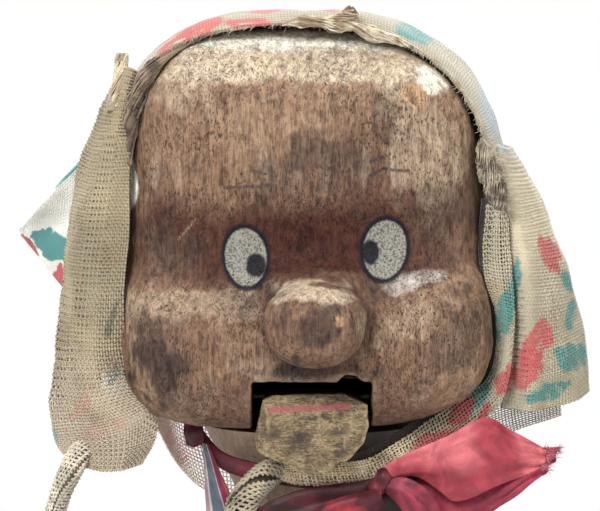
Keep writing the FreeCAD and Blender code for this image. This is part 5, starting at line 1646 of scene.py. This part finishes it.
def build_skirt():
    low, high = box_mm("skirt")
    folds = soft_folds(1.5, 24, 0.05, 2)
    surface = garment("skirt", low[2] + 0.8, high[2] - 0.5, 1.7, folds, 1.06, 1.3)
    piece = sheet("skirt_wrap", surface, (200, 420), MATERIALS["skirt"], "torso", (0, 0, 0),
                  skirt_colours, 0.9)
    stand_for(piece, "skirt_cotton", "skirt")
    hem("skirt_hem", surface, 0.997, 0.8, skirt_colours, "skirt", "skirt_cotton", "torso", 420)
    low, high = box_mm("waist_sash")
    t = np.linspace(0, 1, 400)
    turn = 2 * math.pi * (3.15 * t - 0.27)
    half_x, half_y = high[0] - 1.6, high[1] - 1.6
    z = low[2] + 2.3 + (high[2] - low[2] - 4.6) * t
    path = np.stack([half_x * np.cos(turn), half_y * np.sin(turn), z], -1)

    def roll(u, v):
        turn = 2 * math.pi * v
        return roll_round(path, u, turn, 1.25 + 0.25 * np.sin(3 * turn + 40 * u),
                          2.7 + 0.35 * np.sin(25 * u))

    piece = sheet("sash_wound", roll, (420, 20), MATERIALS["sash"], "torso", (0, 0, 0), sash_colours, 0,
                  wrap=True)
    stand_for(piece, "sash_cotton", "waist_sash")
    front = -high[1]
    for i, (lean, length) in enumerate(((-7, 52), (5, 44))):
        rails = [[(SASH_KNOT[0] + side * (2.4 + 3.0 * t) + lean * t,
                   front - 1.6 - 1.2 * (side == 0) - 3.0 * t - 1.1 * i,
                   SASH_KNOT[1] - length * t) for t in np.linspace(0, 1, 6)] for side in (-1, 0, 1)]
        tail = creased(pleated(loft(*rails), 0.5, 2, 0.1, 0.4 * i), 0.6, 9, 130 + i)
        piece = sheet(f"sash_end_{i + 1}", tail, (70, 24), MATERIALS["sash"], "torso", (0, 0, 0),
                      sash_colours, 0.8)
        stand_for(piece, "sash_cotton")
        fringe(f"sash_end_{i + 1}_threads", curve([rail[-1] for rail in rails]),
               lambda t: np.array([0, -0.05, -1.0]), 34, 6, 0.22, sash_colours, "sash_cotton", 134 + i,
               "torso", (0, 0, 0))
    block = Block((-16, front - 7, 288), (-2, front + 4, 306), SASH_CELL)
    knot = ellipsoid(block.p, (SASH_KNOT[0], front - 1.6, SASH_KNOT[1]), (5.2, 3.8, 6.2))
    for shift in (-3.4, 0, 3.4):
        knot = carve(knot, capsule(block.p, (-16, front - 5.8, 294 + shift),
                                   (-2, front - 5.6, 299.5 + shift), 0.8), 0.9)
    points, faces = block.mesh(knot)
    stand_for(make_mesh("sash_knot", points, faces, MATERIALS["sash"], "torso", (0, 0, 0),
                        points[:, [0, 2]], sash_colours(points)), "sash_cotton")


# The puff takes this share of the sleeve and bends this far. The cuff lies below the shoulder.
PUFF_SHARE, PUFF_BEND = 0.42, 0.62 * math.pi
CUFF_RADIUS, CUFF_LEVEL = 13.3, -57.4


def build_sleeve(name, sign):
    """A puffed sleeve, gathered at the cuff, with a slit above for the shoulder peg."""
    low, high = box_mm(f"sleeve_{name}")
    ball = high[2] - low[2] - 58 - 0.5
    centre = np.array([sign * SHOULDER_OUT, 0, SHOULDER_LEVEL])

    def surface(u, v):
        spin = 2 * math.pi * v
        bend = np.clip(u / PUFF_SHARE, 0, 1) * PUFF_BEND
        cap_r, cap_z = ball * np.sin(bend), ball * np.cos(bend)
        t = np.clip((u - PUFF_SHARE) / (1 - PUFF_SHARE), 0, 1)
        start_r, start_z = ball * math.sin(PUFF_BEND), ball * math.cos(PUFF_BEND)
        tube_r = start_r + (CUFF_RADIUS - start_r) * smooth(t, 0, 0.7)
        tube_r = tube_r - 1.6 * smooth(t, 0.8, 0.94) + 1.2 * smooth(t, 0.94, 1)
        r = np.where(u < PUFF_SHARE, cap_r, tube_r)
        z = np.where(u < PUFF_SHARE, cap_z, start_z + (CUFF_LEVEL - start_z) * t)
        gathered = smooth(t, 0.35, 0.9) + 0.5 * smooth(u, 0.3, 0.1)
        gather = 0.55 * np.sin(spin * 18 + 1.5 * np.sin(spin * 3)) * gathered
        crease = 0.4 * np.sin(5 * spin + 9 * u) * smooth(u, 0.1, 0.3)
        r = np.maximum(r + (gather + crease) * smooth(u, 0.02, 0.15), 0.01)
        return np.stack([r * np.cos(spin), r * np.sin(spin), z], -1)

    piece = sheet(f"sleeve_puff_{name}", surface, (110, 200), MATERIALS["blouse"], f"arm_upper_{name}",
                  centre, blouse_colours, 0.8)

    def slit(c):
        local = c - centre
        turn = np.degrees(np.arctan2(local[:, 2], -sign * local[:, 0]))
        return (np.abs(local[:, 1]) < 9.3) & (turn > -22) & (turn < 88) & (local[:, 0] * sign < 1)

    drop_faces(piece, slit)
    stand_for(piece, "blouse_cotton", f"sleeve_{name}")
    spin = np.linspace(0, 1, 120)
    ring = surface(np.full(120, 0.955), spin)
    stand_for(tubes(f"sleeve_cuff_{name}", [ring], 0.75, MATERIALS["cord"], f"arm_upper_{name}", centre,
                    sides=8, colour=plain(CREAM)), "blouse_cotton")


FINGER_PITCH = 4.6


def build_hand(name, sign):
    """A carved hand with its thumb in front, fingers a little apart and bent."""
    centre = np.array([sign * SHOULDER_OUT, 0, WRIST_LEVEL])
    block = Block((-7, -17, -50.5), (7, 12, 6), HAND_CELL)
    p = block.p
    tongue = np.maximum(np.hypot(p[..., 1], p[..., 2]) - 4.5, np.abs(p[..., 0]) - 1.95)
    tongue = np.minimum(tongue, round_box(p, (-1.95, -4.4, -14), (1.95, 4.4, 0), 0.3))
    palm = ellipsoid(p, (0, 0, -20), (5.2, 10.2, 12.6))
    solid = join(tongue, palm, 2.0)
    for i, length in enumerate((19, 22, 21, 16)):
        y = -1.5 * FINGER_PITCH + FINGER_PITCH * i
        spread = 0.35 * (i - 1.5)
        knuckle = (0, y, -25)
        middle = (-0.25 * sign, y + spread, -25 - 0.55 * length)
        tip = (-1.2 * sign, y + spread * 1.6, -24 - length)
        bone = np.minimum(capsule(p, knuckle, middle, 2.25), capsule(p, middle, tip, 2.05))
        solid = join(solid, bone, 1.1)
    thumb = join(capsule(p, (0, -5.4, -14), (0, -9.4, -22), 2.6),
                 capsule(p, (0, -9.4, -22), (0, -12.6, -29.8), 2.15), 1.2)
    solid = join(solid, thumb, 1.6)
    for y in (-FINGER_PITCH, 0.0, FINGER_PITCH):
        for side in (1, -1):
            solid = carve(solid, capsule(p, (5.8 * side, y, -24), (4.6 * side, y, -34), 0.9), 0.6)
    solid = carve(solid, capsule(p, (-8, 0, 0), (8, 0, 0), 1.6), 0.2)
    points, faces = block.mesh(solid)
    normal, _ = normals_and_wear(points, faces)
    loose = smooth(points[:, 2], -9, -13)
    points = points + (knife_cuts(points, normal, 55, 0.4, 4.0) - points) * loose[:, None]
    _, wear = normals_and_wear(points, faces)
    piece = make_mesh(f"carved_hand_{name}", points, faces, MATERIALS["hand"], f"palm_{name}", centre,
                      wear=wear)
    stand_for(piece, "limb_wood", f"hand_{name}")


# ---------------------------------------------------------------- CAD nodes that keep their own shape


def on_both_sides(*nodes):
    return tuple(f"{node}_{side}" for side, _ in SIDES for node in nodes)


KEPT = {
    "cover": ("access_cover",), "neck": ("torso",), "neck_post": ("neck_post",),
    "brass": ("cover_screws", "finger_ring", *on_both_sides("hand_eye")),
    "bamboo": ("neck_dowels", "rod_lock_peg", "cord_slider", "collar_peg", *on_both_sides("peg_lock_pin")),
    "steel": ("jaw_pin", *on_both_sides("shoulder_pin", "elbow_pin", "wrist_pin", "rod_hook")),
    "rod": ("central_rod", "stop_collar", *on_both_sides("arm_rod")), "leather": ("leather_washer",),
    "limb": on_both_sides("shoulder_peg", "upper_arm", "forearm"),
}


def dress_cad_nodes():
    for material, nodes in KEPT.items():
        for node in nodes:
            mesh = frame["nodes"][node].data
            mesh.materials.clear()
            mesh.materials.append(MATERIALS[material])


def build_cord():
    """The jaw's cord: three twisted strands with a knot at each end."""
    low, high = box_mm("jaw_cord")
    centre = np.array([0, (low[1] + high[1]) / 2, 0])
    t = np.linspace(0, 1, 900)
    z = low[2] + 1.2 + (high[2] - low[2] - 3) * t
    strands = []
    for k in range(3):
        turn = 2 * math.pi * (k / 3 + z / 3.2)
        strands.append(np.stack([0.33 * np.cos(turn), 0.33 * np.sin(turn), z], -1))
    white = plain((0.5, 0.44, 0.32))
    piece = tubes("jaw_cord_strands", strands, 0.36, MATERIALS["cord"], "jaw_pull", centre, sides=5,
                  colour=white)
    stand_for(piece, "cotton_cord", "jaw_cord")
    for name, height, radius in (("upper", high[2] - 2.4, 1.75), ("lower", low[2] + 1.3, 0.85)):
        s = np.linspace(0, 2 * math.pi, 160)
        knot = np.stack([(np.sin(s) + 2 * np.sin(2 * s)) / 3, (np.cos(s) - 2 * np.cos(2 * s)) / 3,
                         -np.sin(3 * s) * 0.8], -1)
        stand_for(tubes(f"jaw_cord_knot_{name}", [knot * radius * 0.85 + (0, 0, height)], radius * 0.42,
                        MATERIALS["cord"], "jaw_pull", centre, sides=8, colour=white), "cotton_cord")


# ---------------------------------------------------------------- camera, light and floor

VIEW_PLANE = -45.0
VIEW_AIM = (-3.6, 55.35)
VIEW_WIDTH, VIEW_DISTANCE, VIEW_RISE, SENSOR = 180.0, 1100.0, 4.0, 36.0
WORLD_LIGHT, WORLD_SEEN, FLOOR_RADIUS = 0.42, 1.0, 1.6


def build_camera():
    aim = HEAD_BASE + (VIEW_AIM[0], VIEW_PLANE, VIEW_AIM[1])
    rise = math.radians(VIEW_RISE)
    place = aim + VIEW_DISTANCE * np.array([0, -math.cos(rise), math.sin(rise)])
    data = bpy.data.cameras.new("camera")
    data.sensor_width = SENSOR
    data.lens = SENSOR * VIEW_DISTANCE / VIEW_WIDTH
    data.clip_start, data.clip_end = 0.01, 20
    camera = bpy.data.objects.new("camera", data)
    camera.location = place * MM
    camera.rotation_euler = (math.pi / 2 - rise, 0, 0)
    bpy.context.scene.collection.objects.link(camera)
    bpy.context.scene.camera = camera


def area_light(name, place, aim, size, power, colour=(1, 1, 1)):
    data = bpy.data.lights.new(name, "AREA")
    data.shape, data.size, data.energy, data.color = "DISK", size, power, colour
    light = bpy.data.objects.new(name, data)
    light.location = place
    light.rotation_euler = (Vector(aim) - Vector(place)).to_track_quat("-Z", "Y").to_euler()
    bpy.context.scene.collection.objects.link(light)


def build_studio():
    head = (0, -0.02, 0.51)
    area_light("key", (-0.55, -1.0, 1.35), head, 0.7, 19.5)
    area_light("fill", (0.9, -0.9, 0.75), head, 0.9, 6, (1.0, 0.98, 0.95))
    area_light("low", (-0.5, -0.9, 0.2), head, 0.8, 1.6)
    area_light("top", (0.05, 0.15, 1.4), head, 0.8, 9)
    area_light("back", (0.3, 1.2, 0.9), head, 0.9, 9)
    world = bpy.data.worlds.new("studio")
    bpy.context.scene.world = world
    world.use_nodes = True
    tree = world.node_tree
    seen = tree.nodes.new("ShaderNodeLightPath")
    strength = tree.nodes.new("ShaderNodeMapRange")
    strength.inputs["To Min"].default_value = WORLD_LIGHT
    strength.inputs["To Max"].default_value = WORLD_SEEN
    tree.links.new(seen.outputs["Is Camera Ray"], strength.inputs["Value"])
    background = tree.nodes["Background"]
    background.inputs["Color"].default_value = (1, 1, 1, 1)
    tree.links.new(strength.outputs[0], background.inputs["Strength"])
    s = Shader("studio_floor")
    speck = s.noise(0.02, 4)
    s.finish(s.mix(speck, (0.72, 0.72, 0.71), (0.8, 0.8, 0.79)), 0.85, speck, 0.2)
    mesh = bpy.data.meshes.new("floor")
    turn = np.linspace(0, 2 * math.pi, 96, endpoint=False)
    rim = np.stack([FLOOR_RADIUS * np.cos(turn), FLOOR_RADIUS * np.sin(turn), -0.0005 + 0 * turn], -1)
    mesh.from_pydata(rim.tolist(), [], [list(range(len(rim)))])
    mesh.materials.append(s.material)
    floor = bpy.data.objects.new("floor", mesh)
    bpy.context.scene.collection.objects.link(floor)
    bpy.context.scene.view_settings.view_transform = "Standard"


# ---------------------------------------------------------------- everything together

build_head()
build_jaw()
build_hood()
build_drapes()
build_tails()
build_ribbons()
build_blouse()
build_skirt()
for side_name, side_sign in SIDES:
    build_sleeve(side_name, side_sign)
    build_hand(side_name, side_sign)
build_cord()
dress_cad_nodes()
build_camera()
build_studio()
